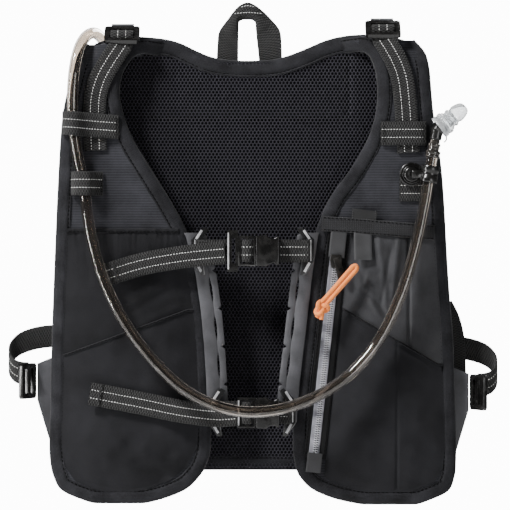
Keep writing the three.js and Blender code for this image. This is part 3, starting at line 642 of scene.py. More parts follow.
# From the quick connector up inside the shell, out of the port, over the left shoulder, down
# under the two keepers, across the front in a long bow and up to the clip on the right.
HOSE = [
    (-14.8, 43.5, -307.7), (-27, 43.5, -289), (-47, 43.5, -257), (-68, 43.5, -217), (-85, 43.5, -170),
    (-95, 43.5, -122), (-101.5, 43.6, -88), (-106.5, 43.6, -71), (-113, 42.8, -55), (-120.5, 40.6, -38.6),
    (-129, 32.2, -22.5), (-135.5, 18, -12.8), (-141, 0.7, -9), (-147, -15.5, -13), (-152, -29.5, -23.6),
    (-155.5, -37, -39), (-157.4, -38.6, -57), (-158, -38, -79), (-157, -37.8, -95), (-154.8, -37.8, -112),
    (-150.5, -37.8, -134), (-146.6, -38.4, -156), (-144, -43.2, -175), (-139, -47.8, -199), (-131, -51, -225),
    (-115, -53, -259), (-90, -56.5, -294), (-59.5, -60, -323), (-29, -61.5, -338), (-2, -62, -342.5),
    (28, -62, -339), (58.6, -61, -327), (86, -58, -308), (109, -54, -281), (128.6, -50, -241),
    (142, -46, -198), (149.6, -43, -163), (154.2, -41, -136), (156.6, -40.4, -121.5),
]
VALVE_AXIS = unit((0.172, 0.02, 0.985))
BITE_AXIS = unit((0.774, 0, 0.633))
GAP = 0.3


def hose():
    line = spline(HOSE, 2.5)
    outer = tube(line, HOSE_RADIUS, HOSE_SIDES, capped=False)
    inner = tube(line, HOSE_BORE, HOSE_SIDES, capped=False)
    heap = Heap().add(*outer).add(*inner)
    count = len(outer[0])
    for start in (0, (len(line) - 1) * HOSE_SIDES):
        for j in range(HOSE_SIDES):
            here, after = start + j, start + (j + 1) % HOSE_SIDES
            heap.faces.append((here, after, count + after, count + here))
    pipe = heap.piece("drinking_hose", HOSE_PLASTIC, "hose", replaces=["hose"])
    return pipe, lengths(line)[-1] * MM, line


def bite_valve():
    foot = np.array(HOSE[-1]) + GAP * VALVE_AXIS
    barrel = [(0, 0), (6.3, 0), (6.5, 0.8), (6.5, 1.9), (6.0, 2.3), (6.0, 2.9), (6.5, 3.3), (6.5, 5.0),
              (6.1, 5.8),
              (4.7, 6.5), (4.7, 7.4), (5.2, 7.8), (5.2, 8.6), (4.7, 9.0), (4.7, 9.6), (5.4, 10.0),
              (5.4, 12.0),
              (4.3, 12.6), (4.3, BARREL_LENGTH), (0, BARREL_LENGTH)]
    body = Heap().add(*turned(rounded(barrel, 0.35), foot, VALVE_AXIS))
    barrel_piece = body.piece("smoky_barrel", SMOKE, "smoke", replaces=["valve_barrel"])
    elbow_foot = foot + (BARREL_LENGTH + GAP) * VALVE_AXIS
    bend_at = elbow_foot + ELBOW_RISE * VALVE_AXIS
    elbow = Heap()
    elbow.add(*turned(rounded([(0, 0), (5, 0), (5.2, 2), (5.4, 9), (4.8, 11.4), (3, 12.9), (0, 13.4)], 0.6),
                      elbow_foot, VALVE_AXIS))
    elbow.add(*turned(rounded([(0, -4), (3.6, -3.6), (5.2, -1.2), (6.4, 1), (7.7, 5.6), (8.1, 7),
                               (8.1, ELBOW_REACH), (0, ELBOW_REACH)],
                              0.6), bend_at, BITE_AXIS))
    elbow_piece = elbow.piece("bite_elbow", ACETAL, "acetal", "bite_valve", ["bite_valve_elbow"])
    bite_foot = bend_at + (ELBOW_REACH + GAP) * BITE_AXIS
    bite = [(0, 0), (8.6, 0), (8.6, -6.4), (9.6, -7.2), (10.3, -6.4), (10.3, -3.4), (9.5, -2.8), (9.5, -2.0),
            (10.3, -1.4), (10.1, 1.6), (8.9, 2.2), (8.9, 3.0), (8.5, 3.7), (7.5, 4.3), (7.3, 5.2),
            (7.6, 5.9), (8.2, 6.4),
            (8.3, 7.6), (8.0, 8.5), (7.0, 9.3), (6.8, 10.4), (7.2, 11.4), (7.7, 12.4), (7.8, 15),
            (7.5, 18), (6.8, 20.4),
            (5.4, 22.2), (3.2, 23), (0, 23.2)]
    bite_points, faces, weave = turned(rounded(bite, 0.5), bite_foot, BITE_AXIS, 48)
    across = unit(np.cross(BITE_AXIS, (0, 1, 0)))
    from_axis = bite_points - bite_foot
    height = from_axis @ BITE_AXIS
    squeeze = 0.22 * np.clip((height - 11) / 12, 0, 1) ** 1.5
    bite_points = bite_points - np.outer((from_axis @ across) * squeeze, across)
    soft = Heap().add(bite_points, faces, weave)
    soft.add(*turned([(0, 0), (4.2, 0), (4.2, 7), (3, 8), (0, 8)], bite_foot + 0.6 * BITE_AXIS, BITE_AXIS,
                     24))
    bite_obj = soft.piece("bite_silicone", SILICONE, "silicone", "bite_valve", ["bite_piece"])
    return [barrel_piece, elbow_piece, bite_obj]


pipe, pipe_length, pipe_line = hose()
valve_pieces = bite_valve()

# ---- straps and their reflective threads ----------------------------------------------------
WEB = 20.0
WEB_T = 1.6
DASH = (1.25, 2.5, 0.55)     # length, pitch and width of a reflective dash
LINE_OFFSET = 3.5
dashes = {}


def strap_section(width, thick):
    half, flat = width / 2, thick / 2
    across = np.linspace(-half + 0.45, half - 0.45, 9)
    top = [(a, flat) for a in across]
    return top + [(half, flat * 0.35), (half, -flat * 0.35)] + [(a, -flat) for a in across[::-1]] + [
        (-half, -flat * 0.35), (-half, flat * 0.35)]


def dash_line(line, across, face, offset, lift, body, size=DASH):
    """Short raised dashes of reflective thread along a strap."""
    length, pitch, width = size
    heap = dashes.setdefault(body, Heap())
    along = lengths(line)
    for start in np.arange(1.2, along[-1] - length - 0.6, pitch):
        ends = []
        for at in (start, start + length):
            pick = lambda rows: np.array([np.interp(at, along, rows[:, k]) for k in range(3)])
            ends.append((pick(line), unit(pick(across)), unit(pick(face))))
        ring = []
        for (spot, side, out), grow in zip((ends[0], ends[0], ends[1], ends[1]), (0.5, 1, 1, 0.5)):
            centre = spot + side * offset + out * lift
            ring.append([centre + side * width / 2 * grow,
                         centre + side * width / 4 * grow + out * 0.18 * grow,
                         centre - side * width / 4 * grow + out * 0.18 * grow,
                         centre - side * width / 2 * grow,
                         centre - out * 0.1])
        heap.add(*loft(ring))


def strap(name, points, replaces=(), body="vest", up=(0, -1, 0), wide=None, lines=1, width=WEB, thick=WEB_T,
          material=None, slot="webbing", step=2.0, wavy=0.25):
    """A strap along a line. lines is 1 or -1 for dashes on its face or its other side, and 0 for none."""
    line = spline(points, step)
    along, across, face = frames(line, up)
    if wide is not None:
        across = np.broadcast_to(unit(wide), line.shape)
        face = unit(np.cross(across, along))
        if (face @ np.asarray(up, float)).mean() < 0:
            face = -face
    wave = rough(lengths(line), np.full(len(line), line[0][0]), 17.0, 2.0)
    line = line + face * (wavy * wave)[:, None]
    rings = sweep(line, across, face, strap_section(width, thick))
    if lines:
        for offset in (-LINE_OFFSET, LINE_OFFSET):
            dash_line(line, across, face * lines, offset, thick / 2, body)
    return Heap().add(*loft(rings)).piece(name, material or WEBBING, slot, body, replaces)


def stitch_row(heap, line, out, length=2.3, pitch=3.5, radius=0.42, lift=0.0):
    """A row of stitches: spindles of thread lying along a line on a surface."""
    along = lengths(line)
    direction = unit(np.gradient(line, axis=0))
    out = np.broadcast_to(np.asarray(out, float), line.shape)
    for start in np.arange(pitch / 2, along[-1] - length, pitch):
        spots = []
        for at in np.linspace(start, start + length, 4):
            spots.append([np.interp(at, along, line[:, k]) for k in range(3)])
        middle = min(int(np.searchsorted(along, start + length / 2)), len(line) - 1)
        side = unit(np.cross(direction[middle], out[middle]))
        up = unit(np.cross(side, direction[middle]))
        rings = []
        for spot, grow in zip(spots, (0.25, 1, 1, 0.25)):
            centre = np.array(spot) + out[middle] * lift
            rings.append([centre + side * radius * grow, centre + up * radius * grow,
                          centre - side * radius * grow,
                          centre - up * radius * grow])
        heap.add(*loft(rings))


dark_seams = Heap()
grey_seams = Heap()


# ---- front panels ---------------------------------------------------------------------------
EDGE_DROP = 2.0              # how much thinner a panel is at its edge
BIND = 12.0


def crowd(n):
    return (1 - np.cos(np.linspace(0, math.pi, n))) / 2


def soft_panel(name, node, material, slot, nx=44, nz=150, reach=15.0):
    """A foam panel: full in the middle, thin at its edges, with slack ripples."""
    z, left, right, front, rear = outline_of(node).T
    rows = z[0] + (z[-1] - z[0]) * crowd(nz)
    xl, xr, yf, yr = (curve(z, v, rows) for v in (left, right, front, rear))
    s = np.linspace(0, 1, nx)
    x = xl[:, None] + (xr - xl)[:, None] * s
    zz = np.repeat(rows[:, None], nx, axis=1)
    distance = np.minimum(np.minimum(x - xl[:, None], xr[:, None] - x), zz - z[-1])
    drop = EDGE_DROP * (1 - round_in(distance, reach))
    slack = 0.7 * rough(x, zz, 46.0, 1.0) + 0.25 * rough(x, zz, 15.0, 5.0)
    y = yf[:, None] + drop + slack * (1 - drop / EDGE_DROP) + 0.35
    back = np.repeat(yr[:, None], nx, axis=1) - drop
    front_grid = np.stack([x, y, zz], axis=-1)
    rear_grid = np.stack([x, back, zz], axis=-1)
    heap = Heap().add(*slab(front_grid, rear_grid))
    made = heap.piece(name, material, slot, replaces=[node])


def panel_edge(node, inner):
    """The edge of a panel from the middle of its bottom up to the shoulder, as points at mid thickness."""
    z, left, right, front, rear = outline_of(node).T
    centre_left = node.startswith("left")
    side = right if inner == centre_left else left
    x_bottom = (left[-1] + right[-1]) / 2
    points = [(x_bottom, (front[-1] + rear[-1]) / 2, z[-1])]
    rows = z[-1] + (z[0] - z[-1]) * crowd(120)
    xs = curve(z, side, rows)
    ys = curve(z, (front + rear) / 2, rows)
    points += [(a, b, c) for a, b, c in zip(xs, ys, rows)]
    return np.array(points)


BIND_SECTION = [(-0.9, 0), (-0.6, 1.6), (0.6, 3.1), (3, 3.9), (7, 4.45), (BIND - 2.9, 4.4), (BIND - 1.8, 3.7),
                (BIND - 0.7, 4.3), (BIND, 3.9), (BIND, 0),
                (BIND, -3.9), (BIND - 0.6, -4.3), (7, -4.15), (3, -3.75), (0.6, -3.1), (-0.6, -1.6)]


def binding(name, points, turn, replaces=(), body="vest", section=BIND_SECTION, pucker=0.55, seed=0.0,
            step=2.2,
            rows=(BIND - 1.8,)):
    """Tape folded over an edge. turn is 1 if the cloth lies to the left of the line's direction, else -1."""
    line = spaced(np.asarray(points, float), step)
    smooth = line.copy()
    for _ in range(3):
        smooth[1:-1] = (smooth[:-2] + 2 * smooth[1:-1] + smooth[2:]) / 4
    line = smooth
    along = unit(np.gradient(line, axis=0))
    inward = unit(np.stack([-along[:, 2], np.zeros(len(line)), along[:, 0]], axis=1)) * turn
    face = unit(np.cross(along, inward))
    face *= np.where(face[:, 1:2] > 0, -1, 1)
    rings = sweep(line, inward, face, section)
    run = lengths(line)
    ripple = rough(run[:, None] * np.ones(len(section)),
                   np.arange(len(section)) * 2.0 * np.ones((len(line), 1)), 5.5,
                   seed)
    swell = rough(run, np.zeros(len(run)), 26.0, seed + 3)
    rings = rings + face[:, None] * (pucker * ripple + 0.3 * swell[:, None])[..., None] * np.sign(
        np.asarray(section)[None, :, 1:2])
    for offset in rows:
        stitch_row(dark_seams, line + inward * offset + face * 4.1, face, 2.5, 3.6, 0.62)
    return Heap().add(*loft(rings)).piece(name, BINDING, "stretch", body, replaces)


SHOULDER_CUT = -29           # where a panel's edge starts to turn onto the collar
COLLAR_DROP = 13.4           # how far below the collar's top that edge runs on


def onto_collar(edge, way):
    """A panel's inner edge, turned at the shoulder to run on under the collar's tape."""
    low, high = mm_box("back_panel")
    kept = edge[edge[:, 2] < SHOULDER_CUT]
    xs = kept[-1][0] + way * np.array([6.0, 14.0, 24.0])
    zs = np.interp(xs, *top_edge()) - COLLAR_DROP
    ys = np.linspace(kept[-1][1], (low[1] + high[1]) / 2 + 0.6, 4)[1:]
    return np.vstack([kept, np.stack([xs, ys, zs], axis=1)])


def front_panels():
    for side in ("left", "right"):
        node = f"{side}_front_panel"
        sign = -1 if side == "left" else 1
        soft_panel(f"{side}_panel_cloth", node, FABRIC, "fabric")
        binding(f"{side}_inner_binding", onto_collar(panel_edge(node, True), -sign), -sign, seed=1.0 + sign)
        binding(f"{side}_outer_binding", panel_edge(node, False), sign, seed=4.0 + sign)


def shoulder_yokes():
    """The cloth that carries each front panel over the shoulder into the back panel."""
    for side, tops in (("left", [(-143, -22.5), (-130, -18.4), (-112, -15.4), (-98, -15.6)]),
                       ("right", [(139, -19.6), (128, -15.2), (112, -12.2), (95, -12.8)])):
        xs = np.linspace(tops[0][0], tops[-1][0], 26)
        zs = curve(*np.array(sorted(tops)).T, xs)
        rings = []
        for x, z in zip(xs, zs):
            ring = [(-15.6, z - 14), (-17.0, z - 8), (-16.6, z - 3.4), (-14.0, z - 0.8), (-10.6, z),
                    (-6.4, z - 0.4),
                    (-3.0, z - 2.6), (-1.2, z - 7), (-0.9, z - 15), (-5, z - 16), (-11, z - 15)]
            rings.append([(x, y, h) for y, h in ring])
        heap = Heap().add(*loft(rings))
        made = heap.piece(f"{side}_shoulder_cloth", FABRIC, "fabric")


# ---- pockets --------------------------------------------------------------------------------
def ridge(x, z, a, b, width, height):
    """A soft fold of cloth along the line from a to b, fading at both ends."""
    a, b = np.array(a, float), np.array(b, float)
    run = b - a
    t = ((x - a[0]) * run[0] + (z - a[1]) * run[1]) / run.dot(run)
    away = (x - a[0]) * run[1] - (z - a[1]) * run[0]
    away = away / np.linalg.norm(run)
    fade = np.clip(np.minimum(t, 1 - t) * 4 + 0.5, 0, 1)
    return height * np.exp(-(away / width) ** 2) * fade ** 2 * (3 - 2 * fade)


def pocket(name, node, relief, material, slot, nx=84, nz=84, side=-1, thick=0.9):
    """Cloth laid over a CAD pocket, with relief(x, z) millimetres of folds on the side that is seen."""
    z, left, right = outline_of(node).T[:3]
    rows = np.linspace(z[0], z[-1], nz)
    xl, xr = curve(z, left, rows), curve(z, right, rows)
    s = np.linspace(0, 1, nx)
    x = xl[:, None] + (xr - xl)[:, None] * s
    zz = np.repeat(rows[:, None], nx, axis=1)
    base = skin(node, side)(x, zz)
    smooth = base.copy()
    for _ in range(6):
        smooth[1:-1, 1:-1] = (smooth[:-2, 1:-1] + smooth[2:, 1:-1] + smooth[1:-1, :-2] + smooth[1:-1, 2:]) / 4
    edge = round_in(np.minimum(x - xl[:, None], xr[:, None] - x), 9.0)
    y = smooth + side * relief(x, zz) * edge
    front = np.stack([x, y, zz], axis=-1)
    rear = front + (0, -side * thick, 0)
    Heap().add(*slab(front, rear)).piece(name, material, slot, replaces=[node])
    return front


TUCK = BIND - 2.5            # how far inside a panel's edge its pockets are caught by the binding
PANEL_FACE = -31.6
POCKET_FULL = 8.4            # how far a pocket stands off its panel
RIM_Z = -184.0               # top of the upper pockets
MOUTH_Z = -186               # where their folds start


def patch_pocket(name, node, limits, top, bottom, relief, material, slot, lift, nx=110, nz=110):
    """A flat pocket between two edges, x = limits(z), from z = top(x) down to z = bottom(x)."""
    s, t = np.linspace(0, 1, nx)[None, :], crowd(nz)[:, None]
    z = np.full((nz, nx), (top(0.0) + bottom(0.0)) / 2)
    for _ in range(4):
        low, high = limits(z)
        x = low + (high - low) * s
        z = top(x) + (bottom(x) - top(x)) * t
    low, high = limits(z)
    x = low + (high - low) * s
    edge = np.minimum(x - low, high - x)
    y = PANEL_FACE - lift(x, z, edge) - relief(x, z) * round_in(edge, 10.0)
    front = np.stack([x, np.minimum(y, PANEL_FACE - 0.2), z], axis=-1)
    Heap().add(*slab(front, front + (0, 0.9, 0))).piece(name, material, slot, replaces=[node])
    return front


def hem(name, front, material, slot, side=-1, tall=7.0, out=0.9, pucker=0.7, seed=1.0):
    """The bound or elastic top edge of a pocket, along the top row of its cloth."""
    top = front[0]
    line = spaced(top, 1.6)
    line[:, 2] -= tall / 2 - 0.8
    section = [(-tall / 2, 0.35), (-tall / 2 + 0.5, 0.9), (-tall / 6, 1.15), (tall / 6, 1.15),
               (tall / 2 - 0.5, 0.9),
               (tall / 2, 0.2), (tall / 2 - 0.3, -1.1), (-tall / 2 + 0.3, -1.1)]
    up = np.broadcast_to((0.0, 0.0, 1.0), line.shape)
    face = np.broadcast_to((0.0, float(side), 0.0), line.shape)
    rings = sweep(line + face * (out - 0.6), up, face, section)
    run = lengths(line)
    folds = rough(run, np.full(len(run), seed), 4.2, seed) + 0.6 * rough(run, np.full(len(run), seed), 9.0,
                                                                         seed + 2)
    rings[:, 1:5] += face[:, None] * (pucker * folds)[:, None, None]
    stitch_row(dark_seams, line + face * (out + 0.75 + pucker * 0.4) - up * (tall / 2 - 1.3), face)
    return Heap().add(*loft(rings)).piece(name, material, slot)


def gathers(x, z, top, reach, pitch, height, seed):
    """Pleats that hang from an elastic hem and fade below it."""
    pleat = rough(x, z * 0.12, pitch, seed) + 0.5 * rough(x, z * 0.1, pitch * 0.5, seed + 4)
    return height * pleat * np.exp(-np.clip(top - z, 0, None) / reach)


def pockets():
    left_rows, right_rows = outline_of("left_front_panel").T, outline_of("right_front_panel").T
    find = lambda rows, column: (lambda z: np.interp(-z, -rows[0], rows[column]))
    left_low, left_high = find(left_rows, 1), find(left_rows, 2)
    right_low, right_high = find(right_rows, 1), find(right_rows, 2)
    foot = left_rows[0][-1] + TUCK

    def left_limits(z):
        inside = np.maximum(z - TUCK, left_rows[0][-1])
        return left_low(inside) + TUCK, left_high(inside) - TUCK

    def right_limits(z):
        inside = np.maximum(z - TUCK, right_rows[0][-1])
        return np.maximum(right_low(inside) + TUCK, zip_x(z) + 10.2), right_high(inside) - TUCK

    left_split = lambda x: np.interp(x, [-165, -57], [-294, -254.5])
    right_split = lambda x: np.interp(x, [79, 162], [-253.5, -302])

    def low_lift(x, z, edge):
        return POCKET_FULL * round_in(edge, 46.0) * round_in(z - foot + 4, 60.0)

    def high_lift(x, z, edge):
        mouth = 0.35 + 0.65 * round_in(MOUTH_Z - z, 46.0)
        return (POCKET_FULL - 1.2) * round_in(edge, 46.0) * mouth

    def left_upper(x, z):
        folds = gathers(x, z, MOUTH_Z, 20, 6.0, 1.3, 11.0) + 0.9 * rough(x, z, 30.0,
                                                                         12.0) + 0.4 * rough(x, z, 11.0, 14.0)
        folds += ridge(x, z, (-160, -240), (-96, -252), 5, 0.8) + ridge(x, z, (-140, -214), (-82, -236), 6,
                                                                        0.8)
        folds += ridge(x, z, (-118, -262), (-70, -236), 4, -0.8) + ridge(x, z, (-100, -268), (-64, -252),
                                                                         3.5, 0.7)
        return folds - 0.7

    def left_lower(x, z):
        folds = 1.0 * rough(x, z, 42.0, 21.0) + 0.6 * rough(x, z, 13.0, 22.0)
        folds += ridge(x, z, (-112, -368), (-70, -384), 7, -1.6) + ridge(x, z, (-104, -386), (-72, -404),
                                                                         6, -1.3)
        folds += ridge(x, z, (-98, -376), (-60, -398), 6, 1.2) + ridge(x, z, (-84, -356), (-58, -366), 5, 0.8)
        folds += ridge(x, z, (-150, -300), (-60, -286), 9, -0.7)
        return folds - 0.7

    def right_upper(x, z):
        folds = 0.6 * rough(x, z, 24.0, 31.0)
        for a, b, width, height in (((92, -190), (106, -252), 3.0, 1.1), ((104, -188), (96, -236), 2.4, -0.9),
                                    ((110, -190), (118, -262), 3.0, 1.5),
                                    ((121, -200), (112, -250), 2.2, -1.1),
                                    ((128, -190), (120, -258), 2.8, 1.4),
                                    ((98, -238), (124, -266), 2.2, -1.0),
                                    ((88, -218), (112, -262), 2.6, 0.9),
                                    ((146, -196), (142, -270), 4.0, 0.9)):
            folds = folds + ridge(x, z, a, b, width, height)
        folds = folds - 2.0 * hump(x, 136.5, 1.6) * (z > -288)
        return folds - 0.5

    def right_lower(x, z):
        folds = 1.0 * rough(x, z, 50.0, 41.0) + 0.5 * rough(x, z, 12.0, 42.0)
        folds += ridge(x, z, (84, -262), (158, -306), 2.0, 0.9) + ridge(x, z, (100, -300), (150, -330), 12,
                                                                        0.6)
        return folds - 0.9 * hump(x, 126.0, 1.2) - 0.3

    rim = lambda x: np.full_like(np.asarray(x, float), RIM_Z)
    base = lambda x: np.full_like(np.asarray(x, float), foot)
    top = patch_pocket("left_upper_pocket_cloth", "left_upper_pocket", left_limits, rim,
                          lambda x: left_split(x) - 9, left_upper, MATT_CLOTH, "stretch", high_lift)
    hem("left_upper_pocket_hem", top, MATT_CLOTH, "stretch", tall=4.2, pucker=0.7, seed=3.0, out=0.5)
    top = patch_pocket("left_lower_pocket_cloth", "left_lower_pocket", left_limits, left_split, base,
                       left_lower,
                          LOWER_CLOTH, "fabric", low_lift)
    hem("left_lower_pocket_hem", top, LOWER_CLOTH, "fabric", tall=2.4, pucker=0.1, seed=5.0, out=0.5)
    patch_pocket("right_upper_pocket_cloth", "right_upper_pocket", right_limits, rim,
                          lambda x: right_split(x) - 9, right_upper, STRETCH, "stretch", high_lift)
    top = patch_pocket("right_lower_pocket_cloth", "right_lower_pocket", right_limits, right_split, base,
                          right_lower, LOWER_CLOTH, "fabric", low_lift)
    hem("right_lower_pocket_hem", top, LOWER_CLOTH, "fabric", tall=2.4, pucker=0.1, seed=9.0, out=0.5)
    band = [(60, -34.1, -178.8), (84, -34.6, -180.4), (110, -35.9, -182.6), (136, -35.6, -184.8),
            (159, -33.6, -187.0)]
    strap("right_upper_pocket_hem", band, lines=0, width=13, thick=1.3, material=GRIP, slot="stretch",
          wavy=0.4)
    for offset in (-5.4, 5.2):
        stitch_row(dark_seams, spline([(x, y - 1.0, z + offset) for x, y, z in band], 2.5), (0, -1, 0))


# ---- back panel -----------------------------------------------------------------------------
CELL = (3.2, 2.75)           # spacing of the mesh's holes, along a row and from row to row
CELL_HOLE = 0.70             # a hole's share of its cell
SEAM_Z = -84.0
SEAM_SPAN = (-90.0, 84.0)
SIDE_KEYS = np.array([0, 0.3, 0.6, 0.93, 1])     # shares of the height, from the top down
SIDE_HEIGHT = 377


def back_relief(x, z):
    """How far the mesh stands back from the panel's flat face: stitched seams and slack cloth."""
    inside = round_in(np.minimum(x - SEAM_SPAN[0] + 3, SEAM_SPAN[1] + 3 - x), 6.0)
    sunk = 2.0 * hump(z, SEAM_Z, 3.0) * inside
    above = round_in(z - SEAM_Z + 2, 6.0)
    for x_seam in SEAM_SPAN:
        sunk = sunk + 1.6 * hump(x, x_seam, 3.0) * above
    slack = 1.2 * rough(x, z, 62.0, 50.0) + 0.4 * rough(x, z, 22.0, 51.0)
    return sunk + slack


COLLAR_TOP = [(-140, -20), (-126, -15.4), (-108, -13.6), (-90, -14.4), (-76, -16.2), (-64, -19.6), (-51, -26),
              (-36, -32), (-18, -34.6), (0, -35), (20, -33.6), (34, -29.6), (50, -23.2), (64, -17.2),
              (78, -13.6),
              (92, -12), (108, -12), (124, -14), (138, -18)]


def top_edge():
    """Z of the back panel's top against X."""
    line = spline([(x, 0.0, z) for x, z in COLLAR_TOP], 2.0)
    xs = np.concatenate([[-150], line[:, 0], [150]])
    return xs, np.concatenate([[-23], line[:, 2], [-22]]) - 0.6


def back_panel():
    (low, high), (edge_x, edge_z) = mm_box("back_panel"), top_edge()
    front_y = low[1]
    nx, nz = 70, 90
    s = np.linspace(0, 1, nz)[:, None]
    half = curve(SIDE_KEYS, [147, 145, 149, 145, 135], s[:, 0])
    x = (2 * crowd(nx)[None, :] - 1) * half[:, None]
    top = np.interp(x, edge_x, edge_z)
    z = top + (low[2] - top) * s
    sunk = back_relief(x, z)
    front = np.stack([x, front_y + 1.3 + sunk * 0.8, z], axis=-1)
    rear = np.stack([x, np.full_like(x, high[1]), z], axis=-1)
    core = Heap().add(*slab(front, rear)).piece("back_panel_lining", LINING, "mesh", replaces=["back_panel"])

    dx, dz = CELL
    rows = int((high[2] - low[2]) / dz) + 1
    columns = int(300 / dx) + 2
    j, i = np.mgrid[0:rows, 0:columns]
    cx = (i + 0.5 * (j % 2) - columns / 2) * dx
    cz = low[2] + 2 + j * dz
    limit = np.interp(cx, edge_x, edge_z) - 1.5
    wide = curve(low[2] + (1 - SIDE_KEYS) * SIDE_HEIGHT, [145, 143, 147, 143, 134], cz.ravel())
    keep = (cz < limit) & (np.abs(cx) < wide.reshape(cx.shape) - 1)
    cx, cz = cx[keep], cz[keep]
    up, out = (dx * dx / 4 + dz * dz) / (2 * dz), (dx * dx / 4 + dz * dz) / 2
    shoulder = (out - dx / 2 * dx / 2) / dz
    cell = np.array([(0, up), (dx / 2, shoulder), (dx / 2, -shoulder), (0, -up), (-dx / 2, -shoulder),
                     (-dx / 2, shoulder)])
    hole = cell * (CELL_HOLE * 0.94, CELL_HOLE * 1.12)
    places = np.concatenate([np.stack([cx, cz], axis=1)[:, None] + cell,
                             np.stack([cx, cz], axis=1)[:, None] + hole],
                            axis=1)
    px, pz = places[..., 0], places[..., 1]
    sunk = np.repeat(back_relief(cx, cz)[:, None], 12, axis=1)
    depth = np.where(np.arange(12) < 6, -0.15, 0.65)
    points = np.stack([px, front_y + depth + sunk * 0.8, pz], axis=-1).reshape(-1, 3)
    keys = np.round(points[:, [0, 2]] / 0.05).astype(np.int64)
    _, first, back = np.unique(keys, axis=0, return_index=True, return_inverse=True)
    back = back.ravel()
    faces = []
    for cell_at in range(len(cx)):
        start = cell_at * 12
        for k in range(6):
            after = (k + 1) % 6
            faces.append(tuple(back[[start + k, start + after, start + 6 + after, start + 6 + k]].tolist()))
    merged = points[first]
    piece("back_air_mesh", merged, faces, merged[:, [0, 2, 1]], AIR_MESH, sharp=80)

    collar = spline(np.stack([*np.array(COLLAR_TOP).T[:1], np.full(len(COLLAR_TOP), (low[1] + high[1]) / 2),
                              *np.array(COLLAR_TOP).T[1:]], axis=1), 2.2)
    wide_section = [(a * 1.15, b * 1.12) for a, b in BIND_SECTION]
    binding("collar_binding", collar, -1, section=wide_section, pucker=0.5, seed=8.0, rows=(11.8,))
    side = [(-147, -26), (-148, -60), (-147, -120), (-148, -180), (-150, -240), (-149, -320), (-146, -370),
            (-143, -388), (-132, -396.4), (-100, -397), (0, -397), (100, -397), (132, -396.4), (143, -388),
            (146, -370), (149, -320), (150, -240), (148, -180), (147, -120), (148, -60), (147, -26)]
    middle = (low[1] + high[1]) / 2
    binding("back_panel_binding", spline([(a, middle, b + 0.6) for a, b in side], 2.4), 1, seed=9.0)


# ---- hard parts that keep their CAD shape ---------------------------------------------------
def hard(node, material, edge=0.5, segments=2, angle=32):
    """A CAD node with its edges broken and a finish of its own."""
    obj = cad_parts[node]
    obj.data.shade_smooth()
    obj.data.set_sharp_from_angle(angle=math.radians(24))
    weld = obj.modifiers.new("weld", "WELD")
    weld.merge_threshold = 0.02 * MM
    flat = obj.modifiers.new("flats", "DECIMATE")
    flat.decimate_type = "DISSOLVE"
    flat.angle_limit = math.radians(1.5)
    bevel = obj.modifiers.new("edges", "BEVEL")
    bevel.width = edge * MM
    bevel.segments = segments
    bevel.limit_method = "ANGLE"
    bevel.angle_limit = math.radians(angle)
    bevel.harden_normals = True
    bevel.use_clamp_overlap = True
    for place in obj.material_slots:
        place.material = material
    if not obj.material_slots:
        obj.data.materials.append(material)
    return obj


RAIL_TOP = -187.0
RAIL_PITCH = 33.2
RAIL_Y = (-31.7, -33.7)


def hook_rail(side):
    """A rubber strip under the binding: a lens-shaped slot in each module and notches between them."""
    node, sign = f"{side}_front_panel", 1 if side == "left" else -1
    z, left, right = outline_of(node).T[:3]
    edge = right if side == "left" else left
    rows = np.linspace(RAIL_TOP, RAIL_TOP - 5 * RAIL_PITCH, 5 * 32 + 1)
    base = np.interp(-rows, -z, edge)
    base[1:-1] = (base[:-2] + base[1:-1] + base[2:]) / 3
    module = ((RAIL_TOP - rows) / RAIL_PITCH) % 1.0
    from_joint = np.minimum(module, 1 - module) * RAIL_PITCH
    outer = 16.4 - 3.0 * np.clip(1 - from_joint / 2.0, 0, 1)
    slot = 0.95 * np.clip(1 - ((module - 0.5) * RAIL_PITCH / 11.4) ** 2, 0, 1)
    ripple = 0.35 * rough(rows, np.zeros(len(rows)), 24.0, 90.0)
    heap = Heap()
    full = np.full(len(rows), -2.0)
    round_slot = 0.4 * np.clip(slot / 0.3, 0.02, 1)
    for near, far, soft in ((full, 9.8 - slot, (0.4 + 0 * slot, round_slot)),
                            (9.8 + slot, outer, (round_slot, 0.4 + 0 * slot))):
        rings = []
        for z_row, b, a, c, r, e, f in zip(rows, base, near, far, ripple, *soft):
            xs = (b + sign * a, b + sign * (a + e), b + sign * (c - f), b + sign * c)
            rings.append([(xs[0], RAIL_Y[0] + r, z_row), (xs[0], RAIL_Y[1] + e + r, z_row),
                          (xs[1], RAIL_Y[1] + r, z_row), (xs[2], RAIL_Y[1] + r, z_row),
                          (xs[3], RAIL_Y[1] + f + r, z_row), (xs[3], RAIL_Y[0] + r, z_row)])
        heap.add(*loft(rings))
    heap.piece(f"{side}_rail_strip", HYPALON, "hypalon", replaces=[f"{side}_hook_rail"])


